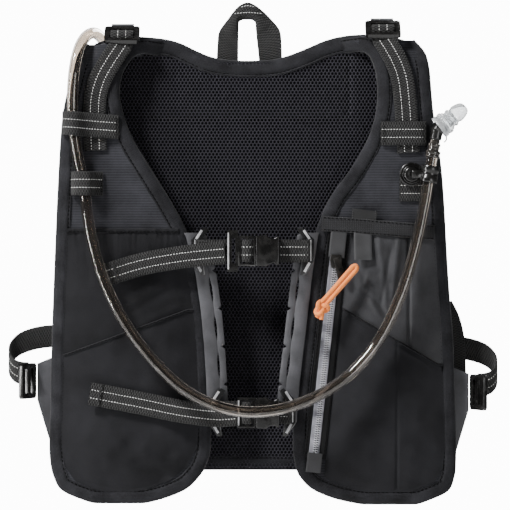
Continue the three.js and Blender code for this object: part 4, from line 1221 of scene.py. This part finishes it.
def paint_chamfer_glints():
    """Painted highlights: pale strips inside the hooks' rings and along the edge of each buckle's fin,
    standing in for the glints on their chamfers.
    """
    shine = Heap()
    for level in ("upper", "lower"):
        for side, sign in (("left", -1), ("right", 1)):
            low, high = mm_box(f"{level}_{side}_hook")
            inner = low[0] if side == "right" else high[0]
            front, middle = low[1] - 0.05, (low[2] + high[2]) / 2
            for a, b, width in (((5.8, 18.2), (10.9, 10.4), 2.1), ((11.9, 9.8), (11.9, -8.8), 0.9),
                                ((10.9, -10.2), (6.4, -18.2), 2.1)):
                ends = [np.array((inner + sign * u, front, middle + w)) for u, w in (a, b)]
                line = spaced(np.array(ends), 2.0)
                _, side_way, face = frames(line, (0, -1, 0))
                shine.add(*loft(sweep(line, side_way, face, strap_section(width, 0.35))))
    shine.piece("hook_painted_glints", GLINT_PAINT, "acetal")
    # Painted highlight down the edge of each buckle's fin.
    for level in ("upper", "lower"):
        low, high = mm_box(f"{level}_buckle_male")
        line = np.array([(low[0] + 0.9, low[1] + 0.1, low[2] + 2.2),
                         (low[0] + 0.9, low[1] - 0.05, (low[2] + high[2]) / 2),
                         (low[0] + 0.9, low[1] + 0.1, high[2] - 2.2)])
        line = spline(line, 2.0)
        _, side_way, face = frames(line, (0, -1, 0))
        Heap().add(*loft(sweep(line, side_way, face, strap_section(1.3, 0.35)))).piece(
            f"{level}_fin_painted_glint", GLINT_PAINT, "acetal", f"{level}_buckle")


def hard_parts():
    for side in ("left", "right"):
        hook_rail(side)
        hard(f"upper_{side}_hook", HOOK_BLACK, 1.1)
        hard(f"lower_{side}_hook", HOOK_BLACK, 1.1)
        hard(f"{side}_shoulder_lock", ACETAL, 0.9)
        hard(f"{side}_side_lock", ACETAL, 0.9)
        hard(f"{side}_side_wing", HYPALON, 0.5)
    for level in ("upper", "lower"):
        hard(f"{level}_buckle_female", ACETAL, 1.1, 3)
        hard(f"{level}_buckle_male", ACETAL, 0.8, 3)
    for node, width in (("front_zip_slider", 0.8), ("front_zip_puller", 0.5), ("rear_zip_slider", 0.8)):
        hard(node, METAL, width)
    hard("shutoff_lever", ACETAL, 0.25)
    paint_chamfer_glints()


# ---- straps ---------------------------------------------------------------------------------
UPPER_Z, LOWER_Z = -203.0, -344.0
TAIL_Y = ((-160, -120, -90, -60, -20, -12), (-42.5, -42.7, -43.1, -43.4, -44.2, -44.6))


BAR_X = -5.0                 # middle of the bar that a tail is wrapped round
tail_seams = {"upper_buckle": Heap(), "lower_buckle": Heap()}


def chest_straps():
    for level, z, tail in (
            ("upper", UPPER_Z, [(-24.4, -204.6), (-40, -206), (-63, -208.5), (-97, -214.6), (-127, -223.6)]),
            ("lower", LOWER_Z,
             [(-14.6, -345.6), (-30, -346.6), (-60, -343.4), (-100, -335.4), (-141, -327.6)])):
        body = f"{level}_buckle"
        points = [(x, float(np.interp(x, *TAIL_Y)), h) for x, h in tail]
        strap(f"{level}_tail_strap", points, [f"{level}_strap_tail"], body)
        end, before = np.array(points[-1]), np.array(points[-2])
        back = unit(before - end)
        strap(f"{level}_tail_fold", [end - back * 1.5 + (0, -1.25, 0), end + back * 4 + (0, -1.35, 0),
                                     end + back * 8.5 + (0, -1.25, 0)], (), body, lines=1, wavy=0, thick=1.2)
        across = unit(np.cross(back, (0, 1, 0)))
        for reach in (1.2, 6.8):
            row = [end + back * reach + across * a + (0, -1.95, 0) for a in (-8.6, 0, 8.6)]
            stitch_row(tail_seams[body], np.array(row), (0, -1, 0), 1.2, 1.9, 0.3)
        arch = [(-4.6, 0.6), (-4.4, -3.2), (-2.6, -5.6), (0, -6.1), (2.6, -5.6), (4.4, -3.2), (4.6, 0.6)]
        strap(f"{level}_bar_wrap", [(BAR_X + a, -43 + b, z) for a, b in arch], (), body, wide=(0, 0, 1),
              width=19.4,
              step=1.2, wavy=0)
        for side in ("left", "right"):
            low, high = mm_box(f"{level}_{side}_webbing")
            mid = (low[1] + high[1]) / 2
            made = strap(f"{level}_{side}_strap", [(low[0], mid, z), ((low[0] + high[0]) / 2, mid, z),
                                                   (high[0], mid, z)], [f"{level}_{side}_webbing"], wavy=0,
                         lines=1 if side == "right" else 0)
            if side == "left":
                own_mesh(made)
            out, tip = (1, high[0]) if side == "right" else (-1, low[0])
            curl = [(tip - out * 7, mid, z), (tip, mid + 0.05, z), (tip + out * 0.9, mid + 1.1, z),
                    (tip - out * 1, mid + 1.9, z)]
            strap(f"{level}_{side}_strap_fold", curl, wide=(0, 0, 1), width=19, step=0.9, wavy=0, lines=0)


LIFTER_Y = ((-80, -58, -42, -30, -20), (-32.4, -32.8, -32.2, -30.2, -28.6))
blends = []                  # straps that run through a lock: piece, lock, and the start and end of the stretch round it
LOCK_TILT = 0.6655           # how far the shoulder locks lean back


def in_lock(at, u, w):
    """A point in a shoulder lock's section: u runs up its face and w stands off it."""
    x, y, z = at
    cos, sin = math.cos(LOCK_TILT), math.sin(LOCK_TILT)
    return x, y + u * cos - w * sin, z + u * sin + w * cos


def shoulder_straps():
    for side, run, at in (
            ("left", [(-138, -115), (-139, -85), (-138, -67), (-133.5, -52), (-126, -38), (-119.6, -28)],
             (-115.5, -21, -12.6)),
            ("right", [(136.5, -117), (134.5, -85), (133, -67), (130.5, -50), (125, -35), (119, -24)],
             (114.5, -21, -7.6))):
        points = [(x, float(np.interp(z, *LIFTER_Y)) - 0.2, z) for x, z in run]
        points += [in_lock(at, u, w) for u,
                   w in ((-9.5, -3.2), (-5.2, -1.2), (-3.4, 1.8), (0, 3.2), (3.2, 2.0),
                                                  (5.0, -0.8), (9.5, -3.2), (15, -4.2), (21, -2.6))]
        line = np.array(points)
        made = strap(f"{side}_lifter_strap", line, [f"{side}_load_lifter"], step=1.4)
        blends.append((made, f"{side}_shoulder_lock", (line[3] * MM).tolist(), (line[6] * MM).tolist()))
        x, y, z = at
        fold = [(y + 11.8, z + 8.6), (-4.5, z + 9.6), (0.4, z + 5), (1.6, -20), (0.4, -30), (0.3, -43)]
        strap(f"{side}_anchor_tab", [(x, a, b) for a, b in fold], [f"{side}_lock_anchor"], up=(0, -1, 1),
              wide=(1, 0, 0), material=HYPALON, slot="hypalon", lines=0, width=20, wavy=0.1)


KEEPER_SEAM = 17             # length of the stitches across a keeper's end


def keeper(name, points, step=2.0):
    strap(f"{name}_strap", points, [name], wide=(0, 0, 1), width=21, thick=1.5, step=step, wavy=0)


def keepers():
    slope = -0.07
    arch = [(-166.6, -32.5), (-165.4, -39.6), (-162.4, -43.6), (-157.8, -45), (-153, -43.4), (-148.6, -39.4),
            (-142, -36.4), (-129, -35), (-118, -33)]
    keeper("left_upper_keeper", [(x, y, -91 + (x + 166.6) * slope) for x, y in arch], 1.5)
    arch = [(-158.8, -32.5), (-157.6, -39), (-155.6, -43), (-152.6, -45), (-145.4, -45.2), (-141.4, -43),
            (-138.6, -38), (-131.8, -32.5)]
    keeper("left_lower_keeper", [(x, y, -144) for x, y in arch], 1.5)
    flat = [(112, -33), (121, -34.8), (134, -35.2), (145, -34.8), (151.6, -33)]
    keeper("right_upper_keeper", [(x, y, -100) for x, y in flat])
    keeper("right_lower_keeper", [(x, -32.5, -149) for x in (128.5, 140, 155)])
    for x, z in ((-164.5, -91), (-120, -94.4), (114.5, -100), (149.2, -100), (-132.6, -144)):
        y = -35.6 if x > 0 else -34.6
        row = np.array([(x, y, z - KEEPER_SEAM / 2), (x, y, z + KEEPER_SEAM / 2)])
        stitch_row(dark_seams, spaced(row, 2), (0, -1, 0), 1.3, 1.8)


def side_straps():
    path = [(151, -5.2), (172, -3.6), (192, -5.2), (207, -10), (214, -17), (214, -24), (209, -29.4),
            (202.6, -31.2),
            (197, -31.4)]
    for side, sign, z in (("left", -1, -280), ("right", 1, -290)):
        points = [(x * sign, y, z + (y + 5) * 1.15) for x, y in path]
        strap(f"{side}_compression_strap", points, [f"{side}_side_strap"], up=(sign, -0.3, 0),
              wide=(0, 0, 1), wavy=0.2)
    band = [(170, -6.4, -250), (176, -6.8, -262), (180.5, -6.8, -280), (182, -6.4, -311)]
    strap("right_side_band", band, lines=0, width=14, thick=1.4, wavy=0.2)


def hang_loop():
    """One length of webbing, folded over at the crown so that its reflective side faces forward there."""
    outer = spline([(-32.6, 0, -44), (-32.3, 0, -31), (-31.6, 0, -18), (-30.4, 0, -8.5), (-22.8, 0, 2.8),
                    (-12.8, 0, 14.8), (-5, 0, 18.2), (2.8, 0, 15.2), (17.6, 0, 1.6), (24, 0, -7.2),
                    (25.4, 0, -18),
                    (25.8, 0, -31), (25.9, 0, -44)], 1.5)
    inner = spline([(-13.2, 0, -44), (-13.1, 0, -31), (-13, 0, -18), (-12.8, 0, -6), (-12.2, 0, 1.0),
                    (-9.4, 0, 2.6), (-5, 0, 2.8), (-1, 0, 2.6), (1.6, 0, 0.8), (2.4, 0, -6), (3.6, 0, -18),
                    (5.0, 0, -31), (5.6, 0, -44)], 1.5)
    count, columns = 120, 13
    pick = lambda line: np.stack([np.interp(np.linspace(0, 1, count), lengths(line) / lengths(line)[-1],
                                            line[:, k])
                                  for k in range(3)], axis=1)
    outer, inner = pick(outer), pick(inner)
    s = np.linspace(0, 1, columns)[None, :, None]
    web = inner[:, None] + (outer - inner)[:, None] * s
    narrow = WEB - np.linalg.norm(outer - inner, axis=1)
    bulge = 0.25 * np.sqrt(np.clip(narrow * WEB, 0, None))
    web[..., 1] = -(bulge[:, None] * np.sin(math.pi * s[..., 0]))
    points, faces, _ = slab(web - (0, 0.75, 0), web + (0, 0.75, 0))
    run = lengths((outer + inner) / 2)
    flat = np.stack([np.broadcast_to((s[..., 0] - 0.5) * WEB, (count, columns)),
                     np.repeat(run[:, None], columns, axis=1), np.zeros((count, columns))], axis=-1)
    flat = flat.reshape(-1, 3)
    heap = Heap().add(points, faces, np.concatenate([flat, flat]))
    heap.piece("hang_loop_webbing", WEBBING, "webbing", replaces=["hang_loop"])
    for z, low, high in ((14.4, -11.4, 1.8), (8.4, -17.6, 8.4)):
        line = spline([(low, -4.4, z - 0.8), ((low + high) / 2, -4.9, z + 0.4), (high, -4.4, z - 0.6)], 1.5)
        _, across, face = frames(line, (0, -1, 0))
        dash_line(line, across, face, 0.0, 0.0, "vest")


# ---- front zip ------------------------------------------------------------------------------
ZIP_TOP, ZIP_BOTTOM = np.array((73.0, -208.0)), np.array((54.0, -384.0))
TEETH_TOP, TEETH_BOTTOM = -207, -380
ZIP_DIR = (ZIP_BOTTOM - ZIP_TOP) / np.linalg.norm(ZIP_BOTTOM - ZIP_TOP)


def zip_run(heap_teeth, start, stop, across, out, pitch=2.0):
    """Coil teeth: pairs of short bars that meet in the middle of the tape."""
    along = unit(stop - start)
    count = int(np.linalg.norm(stop - start) / pitch)
    for k in range(count):
        centre = start + along * (k + 0.5) * pitch
        for side in (-1, 1):
            inner = centre + along * side * pitch / 4
            a, b = inner - across * side * 0.35, inner + across * side * 2.3 + along * side * 0.5
            rings = []
            for spot, high in ((a, 0.45), (a + (b - a) * 0.15, 0.75), (a + (b - a) * 0.8, 0.75), (b, 0.2)):
                rings.append([spot - along * 0.34, spot - along * 0.26 + out * high,
                              spot + along * 0.26 + out * high,
                              spot + along * 0.34, spot - out * 0.2])
            heap_teeth.add(*loft(rings))


def zip_x(z):
    """Middle of the front zip at a height."""
    return ZIP_TOP[0] + (np.asarray(z, float) - ZIP_TOP[1]) * ZIP_DIR[0] / ZIP_DIR[1]


def on_zip(z, y):
    """A point on the middle line of the front zip at a height, y deep."""
    return np.array((zip_x(z), y, z))


def front_zip():
    _, high = mm_box("front_zip_tape")
    across, out = np.array((-ZIP_DIR[1], 0, ZIP_DIR[0])), np.array((0, -1.0, 0))
    rear = high[1] - 0.1
    strap("front_zip_cloth", [on_zip(-188, rear - 0.4), on_zip(-286, rear - 0.4), on_zip(-385, rear - 0.4)],
          ["front_zip_tape"], lines=0, width=19, thick=0.8, material=TAPE_BLACK, slot="zip", wavy=0.1)
    shine = Heap()
    for offset, width in ((-3.4, 4.2), (2.5, 2.0)):
        line = spline([on_zip(TEETH_TOP, rear - 1.2) + across * offset,
                       on_zip(TEETH_BOTTOM, rear - 1.2) + across * offset], 3)
        _, side, face = frames(line, (0, -1, 0))
        shine.add(*loft(sweep(line, side, face, strap_section(width, 0.9))))
    shine.piece("front_zip_shine", TAPE_SILVER, "zip")
    teeth = Heap()
    zip_run(teeth, on_zip(TEETH_TOP, rear - 1.45), on_zip(TEETH_BOTTOM, rear - 1.45), across, out)
    teeth.piece("front_zip_coil", COIL, "zip")
    for name, z0, z1, width in (("top", -186, -208.5, 14), ("bottom", -380, -397, 13)):
        patch = [on_zip(z0, rear - 2.2), on_zip((z0 + z1) / 2, rear - 2.9), on_zip(z1, rear - 2.2)]
        strap(f"front_zip_garage_{name}", patch, lines=0, width=width, thick=1.0, material=GREY_PATCH,
              slot="hypalon",
              wavy=0.05)
    strap("pocket_patch", [(96, -34.9, -185), (96.2, -37.0, -197), (96.4, -39.2, -211)], lines=0, width=15.5,
          thick=0.9, wide=(1, 0, 0), material=GREY_PATCH, slot="hypalon", wavy=0.05)
    for offset in (-8.2, 8.2):
        row = np.array([on_zip(-190, rear - 1.0) + across * offset,
                        on_zip(-384, rear - 1.0) + across * offset])
        stitch_row(dark_seams, spaced(row, 3), (0, -1, 0))


def zip_cord():
    loop_at, knot_at = np.array((90.0, -45.4, -216.2)), np.array((61.0, -46.0, -249.5))
    run = unit(loop_at - knot_at)
    side = unit(np.cross(run, (0, 1, 0)))
    r = 2.05
    path = [knot_at - side * r, knot_at + run * 14 - side * r * 0.95, loop_at - run * 6 - side * r,
            loop_at - run * 1.6 - side * r * 0.9, loop_at, loop_at - run * 1.6 + side * r * 0.9,
            loop_at - run * 6 + side * r, knot_at + run * 14 + side * r * 0.95, knot_at + side * r]
    heap = Heap().add(*tube(spline(path, 1.0), r, 14))
    turn = np.linspace(0, 2 * math.pi, 73)[:-1]
    knot = np.stack([(np.sin(turn) + 2 * np.sin(2 * turn)) * 1.75, -np.sin(3 * turn) * 2.1,
                     (np.cos(turn) - 2 * np.cos(2 * turn)) * 2.15], axis=1)
    spun = np.array([knot_at + (-1.2, 0.2,
                                -3.2)]) + knot[:, :1] * side + knot[:, 1:2] * (0, 1, 0) + knot[:, 2:] * run
    closed = np.concatenate([spun, spun[:1]])
    heap.add(*tube(closed, r, 12))
    for end in ((-5.5, 0.6, -11.6), (-1.6, -0.6, -13.4)):
        heap.add(*tube(spline([knot_at + (-1, 0, -3), knot_at + (end[0] * 0.6, end[1], end[2] * 0.7),
                               knot_at + end], 1.0), r * 0.95, 12))
    heap.piece("zip_pull_cord", ORANGE, "cord", "front_zip_pull", ["front_zip_cord"])


# ---- clip, port and small trim --------------------------------------------------------------
PORT_AT = (-113, 42.8, -55)  # where the hose leaves the shell
CLIP_AT = HOSE[-2]


def hollow_ring(profile, at, axis, sides=40):
    """A ring turned about an axis, from a closed profile of radii and heights."""
    face = unit(np.cross(axis, (0.31, 0.52, 0.79)))
    side = np.cross(axis, face)
    turn = np.linspace(0, 2 * math.pi, sides, endpoint=False)
    round_axis = np.cos(turn)[:, None] * side + np.sin(turn)[:, None] * face
    rings = [np.array(at) + axis * h + r * round_axis for r, h in profile]
    return loft(rings + [rings[0]], capped=False)


def small_parts():
    foot = (139, -33.8, -136)
    clip = Heap()
    clip.add(*turned(rounded([(0, 0), (10.6, 0), (10.6, 2.4), (9.2, 3.0), (8.9, 2.4), (8.4, 2.4),
                              (8.2, 4.4), (7.4, 4.8),
                              (6.9, 4.2), (6.6, 6.6), (5.8, 7.2), (2.6, 7.2), (2.2, 6.4), (0, 6.4)], 0.3),
                     foot,
                     (0, -1, 0), 48))
    ring = [(5.5, -7.2), (7.5, -7.2), (7.9, -6.4), (7.9, -2.4), (7.5, -2.0), (7.5, 2.0), (7.9, 2.4),
            (7.9, 6.4),
            (7.5, 7.2), (5.5, 7.2)]
    clip.add(*hollow_ring(ring, CLIP_AT, VALVE_AXIS))
    clip.add(*block((138.6, -44.4, -139.6), (148.4, -40, -132.4), 0.6))
    clip.piece("hose_park_clip", ACETAL, "acetal", replaces=["hose_clip"])

    ring = [(5.4, -4), (6.9, -4), (6.9, 2.6), (8.2, 3.2), (8.5, 4.0), (8.2, 4.9), (6.4, 5.4), (5.4, 5.2)]
    port = Heap().add(*hollow_ring(ring, PORT_AT, unit((-0.42, -0.09, 0.9))))
    port.piece("hose_port_ring", SOFT_RUBBER, "hypalon", replaces=["hose_port"])

    strap("blank_side_label", [(86.4, -34.4, -171.4), (97, -34.9, -172.6), (108.2, -34.4, -174.2)],
          lines=0, width=11.4, thick=0.7, material=LABEL, slot="fabric", wavy=0.1)
    for x in (87.4, 107.2):
        row = np.array([(x, -35.3, -166.6), (x, -35.3, -178)])
        stitch_row(grey_seams, spaced(row, 2), (0, -1, 0), 1.3, 1.9, 0.28)


# ---- rear: shell, zip, stash pocket, reservoir ----------------------------------------------
def rear_shell():
    low, high = mm_box("rear_shell")
    find = skin("rear_shell", 1)
    nx, nz = 92, 100
    x = (2 * crowd(nx)[None, :] - 1) * np.full((nz, 1), high[0])
    z = high[2] + (low[2] - high[2]) * crowd(nz)[:, None] * np.ones((1, nx))
    y = find(x, z)
    for _ in range(5):
        y[1:-1, 1:-1] = (y[:-2, 1:-1] + y[2:, 1:-1] + y[1:-1, :-2] + y[1:-1, 2:]) / 4
    depth = np.clip(y / high[1], 0, 1)
    folds = 1.3 * rough(x, z, 70.0, 61.0) + 0.6 * rough(x, z, 24.0, 62.0)
    folds += -1.5 * hump(np.abs(x), 99, 2.2) - 1.2 * hump(z, -214, 2.0) * (np.abs(x) < 99)
    y = y + folds * depth
    outer = np.stack([x, y, z], axis=-1)
    near = np.linalg.norm(outer - PORT_AT, axis=-1) < 6.5
    inner = outer + (0, -1.4, 0)
    points, faces, weave = slab(outer, inner)
    gone = set(np.flatnonzero(np.concatenate([near.ravel(), near.ravel()])).tolist())
    faces = [f for f in faces if not gone.intersection(f)]
    Heap().add(points, faces, weave).piece("rear_shell_cloth", SHELL_CLOTH, "fabric", replaces=["rear_shell"])
    rim = [(high[0], 0.6, high[2] - 14), (high[0] - 12, 0.6, high[2] - 1.5), (high[0] - 30, 0.6, high[2])]
    rim += [(low[0] + 30, 0.6, high[2]), (low[0] + 12, 0.6, high[2] - 1.5), (low[0], 0.6, high[2] - 14)]
    rim += [(low[0], 0.6, low[2] + 30), (low[0] + 10, 0.6, low[2] + 6), (low[0] + 34, 0.6, low[2])]
    rim += [(high[0] - 34, 0.6, low[2]), (high[0] - 10, 0.6, low[2] + 6), (high[0], 0.6, low[2] + 30)]
    ring = spline(rim, 3.0, closed=True)
    piping = Heap().add(*tube(ring, 1.7, 10, capped=False))
    piping.piece("rear_shell_piping", BINDING, "stretch")
    for x_seam in (-101.5, 101.5):
        rows = np.linspace(-80, -360, 80)
        row = np.stack([np.full(80, x_seam), find(np.full(80, x_seam), rows) + 0.4, rows], axis=1)
        stitch_row(grey_seams, row, (0, 1, 0))


def rear_zip():
    low, high = mm_box("rear_zip_tape")
    middle = (low[2] + high[2]) / 2
    face = low[1] + 0.6
    strap("rear_zip_cloth", [(low[0], face, middle), (0, face, middle), (high[0], face, middle)],
          ["rear_zip_tape"],
          up=(0, 1, 0), lines=0, width=20, thick=0.9, material=TAPE_BLACK, slot="zip", wavy=0.1)
    teeth = Heap()
    zip_run(teeth, np.array((low[0] + 2, face + 0.5, middle)), np.array((high[0] - 3, face + 0.5, middle)),
            np.array((0, 0, 1.0)), np.array((0, 1.0, 0)))
    teeth.piece("rear_zip_coil", SOFT_RUBBER, "zip")
    for offset in (-8.4, 8.4):
        row = np.array([(low[0] + 1, face + 0.7, middle + offset),
                        (high[0] - 1, face + 0.7, middle + offset)])
        stitch_row(grey_seams, spaced(row, 3), (0, 1, 0))
    low, high = mm_box("rear_zip_pull")
    x, y = (low[0] + high[0]) / 2, (low[1] + high[1]) / 2
    r = 1.35
    path = [(x - r, y, low[2] + 9), (x - r * 1.1, y, low[2] + 20), (x - r * 0.9, y, high[2] - 2.4),
            (x, y, high[2] - 0.6),
            (x + r * 0.9, y, high[2] - 2.4), (x + r * 1.1, y, low[2] + 20), (x + r, y, low[2] + 9)]
    heap = Heap().add(*tube(spline(path, 1.0), r, 12))
    heap.add(*turned(rounded([(0, 0), (2.6, 0), (3.2, 2.5), (3.2, 8), (2.4, 11), (0, 11)], 0.8),
                     (x, y, low[2]),
                     (0, 0, 1), 20))
    heap.piece("rear_zip_cord", ORANGE, "cord", "rear_zip_pull", ["rear_zip_pull"])


def stash_pocket():
    def relief(x, z):
        return gathers(x, z, -232, 30, 11.0, 1.2, 71.0) + 0.8 * rough(x, z, 40.0, 72.0)

    top = pocket("rear_stash_cloth", "rear_stash_pocket", relief, STRETCH, "stretch", side=1, nx=100, nz=70)
    hem("rear_stash_hem", top, BINDING, "stretch", side=1, tall=10.0, pucker=0.6, seed=13.0)


FILM_Y = 15                  # middle of the reservoir
CAP_Z = -135
CAP_RIBS = 36
JOINT_X, JOINT_Z = -8, -318  # the quick connector


def reservoir():
    low, high = mm_box("reservoir")
    nx, nz = 48, 72
    x = (2 * crowd(nx)[None, :] - 1) * np.full((nz, 1), high[0] - 3)
    z = high[2] - 3 + (low[2] - high[2] + 6) * crowd(nz)[:, None] * np.ones((1, nx))
    swell = round_in(high[0] - np.abs(x), 40) * round_in(high[2] - z, 60) * round_in(z - low[2], 40)
    ripple = 0.8 * rough(x, z, 22.0, 81.0) * swell + 0.9 * rough(x, z * 0.3, 9.0,
                                                                 82.0) * swell * (1 - swell) * 3
    front = np.stack([x, FILM_Y - 0.6 - 10.4 * swell + ripple, z], axis=-1)
    rear = np.stack([x, FILM_Y + 0.6 + 10.4 * swell + ripple, z], axis=-1)
    heap = Heap().add(*slab(front, rear))
    heap.add(*block((low[0], FILM_Y - 0.5, low[2]), (high[0], FILM_Y + 0.5, high[2]), 0.3))
    heap.add(*turned(rounded([(0, 0), (32.6, 0), (32.6, 4), (31, 5), (31, 13), (0, 13)], 0.6),
                     (0, 20, CAP_Z), (0, 1, 0), 56))
    heap.add(*turned(rounded([(0, 0), (9, 0), (9, 8), (8.2, 12), (0, 12)], 0.6), (JOINT_X, 22, JOINT_Z),
                     (0, 1, 0), 32))
    made = heap.piece("reservoir_film", BLADDER, "bladder", replaces=["reservoir"])
    cap = Heap()
    cap.add(*turned(rounded([(0, 0), (30, 0), (30, 5.6), (28.6, 6.7), (0, 6.7)], 0.6), (0, 33.3, CAP_Z),
                    (0, 1, 0), 64))
    cap.add(*block((-24, 39, CAP_Z - 4), (24, 46, CAP_Z + 4), 1.4))
    for k in range(CAP_RIBS):
        angle = 2 * math.pi * k / CAP_RIBS
        spot = np.array((30.1 * math.cos(angle), 34.2, CAP_Z + 30.1 * math.sin(angle)))
        cap.add(*turned([(0, 0), (0.8, 0), (0.8, 4.2), (0, 4.6)], spot, (0, 1, 0), 8))
    cap.piece("reservoir_screw_cap", SOFT_RUBBER, "cap", "reservoir_cap", ["reservoir_cap"])
    middle, axis = np.array((JOINT_X, 43.5, JOINT_Z)), unit((-0.55, 0, 0.835))
    joint = Heap()
    joint.add(*turned(rounded([(0, -13), (6.8, -13), (8, -12), (8, -6), (7.2, -5.4), (7.2, -4.4),
                               (8, -3.8), (8, 6),
                               (6.8, 7.4), (6.8, 8.6), (7.6, 9.2), (7.6, 12), (0, 12)], 0.4), middle, axis,
                      40))
    joint.add(*turned([(0, 0), (6, 0), (6, 5.7), (0, 5.7)], (JOINT_X, 34.3, JOINT_Z), (0, 1, 0), 28))
    joint.piece("quick_connector", ACETAL, "acetal", replaces=["quick_connect"])
    button = turned(rounded([(0, 3.0), (3.2, 3.0), (4, 3.2), (4, 4.4), (3.4, 5.2), (0, 4.9)], 0.3),
                    (JOINT_X, 50.2, JOINT_Z),
                    (0, 1, 0), 28)
    Heap().add(*button).piece("release_button", SOFT_RUBBER, "hypalon", "quick_connect_button",
                              ["quick_connect_button"])


front_panels()
shoulder_yokes()
pockets()
back_panel()
hard_parts()
chest_straps()
shoulder_straps()
keepers()
side_straps()
hang_loop()
front_zip()
zip_cord()
small_parts()
rear_shell()
rear_zip()
stash_pocket()
reservoir()

for body, heap in dashes.items():
    heap.piece(f"reflective_dashes_{body}", REFLECTIVE, "webbing", body)
for body, heap in tail_seams.items():
    heap.piece(f"{body}_tail_stitches", GREY_STITCH, "webbing", body)
dark_seams.piece("dark_stitches", STITCH, "fabric")
grey_seams.piece("grey_stitches", GREY_STITCH, "fabric")
for made, body, start, end in blends:
    world = made.matrix_world.copy()
    made.parent = None
    made.matrix_world = world
    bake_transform(made)
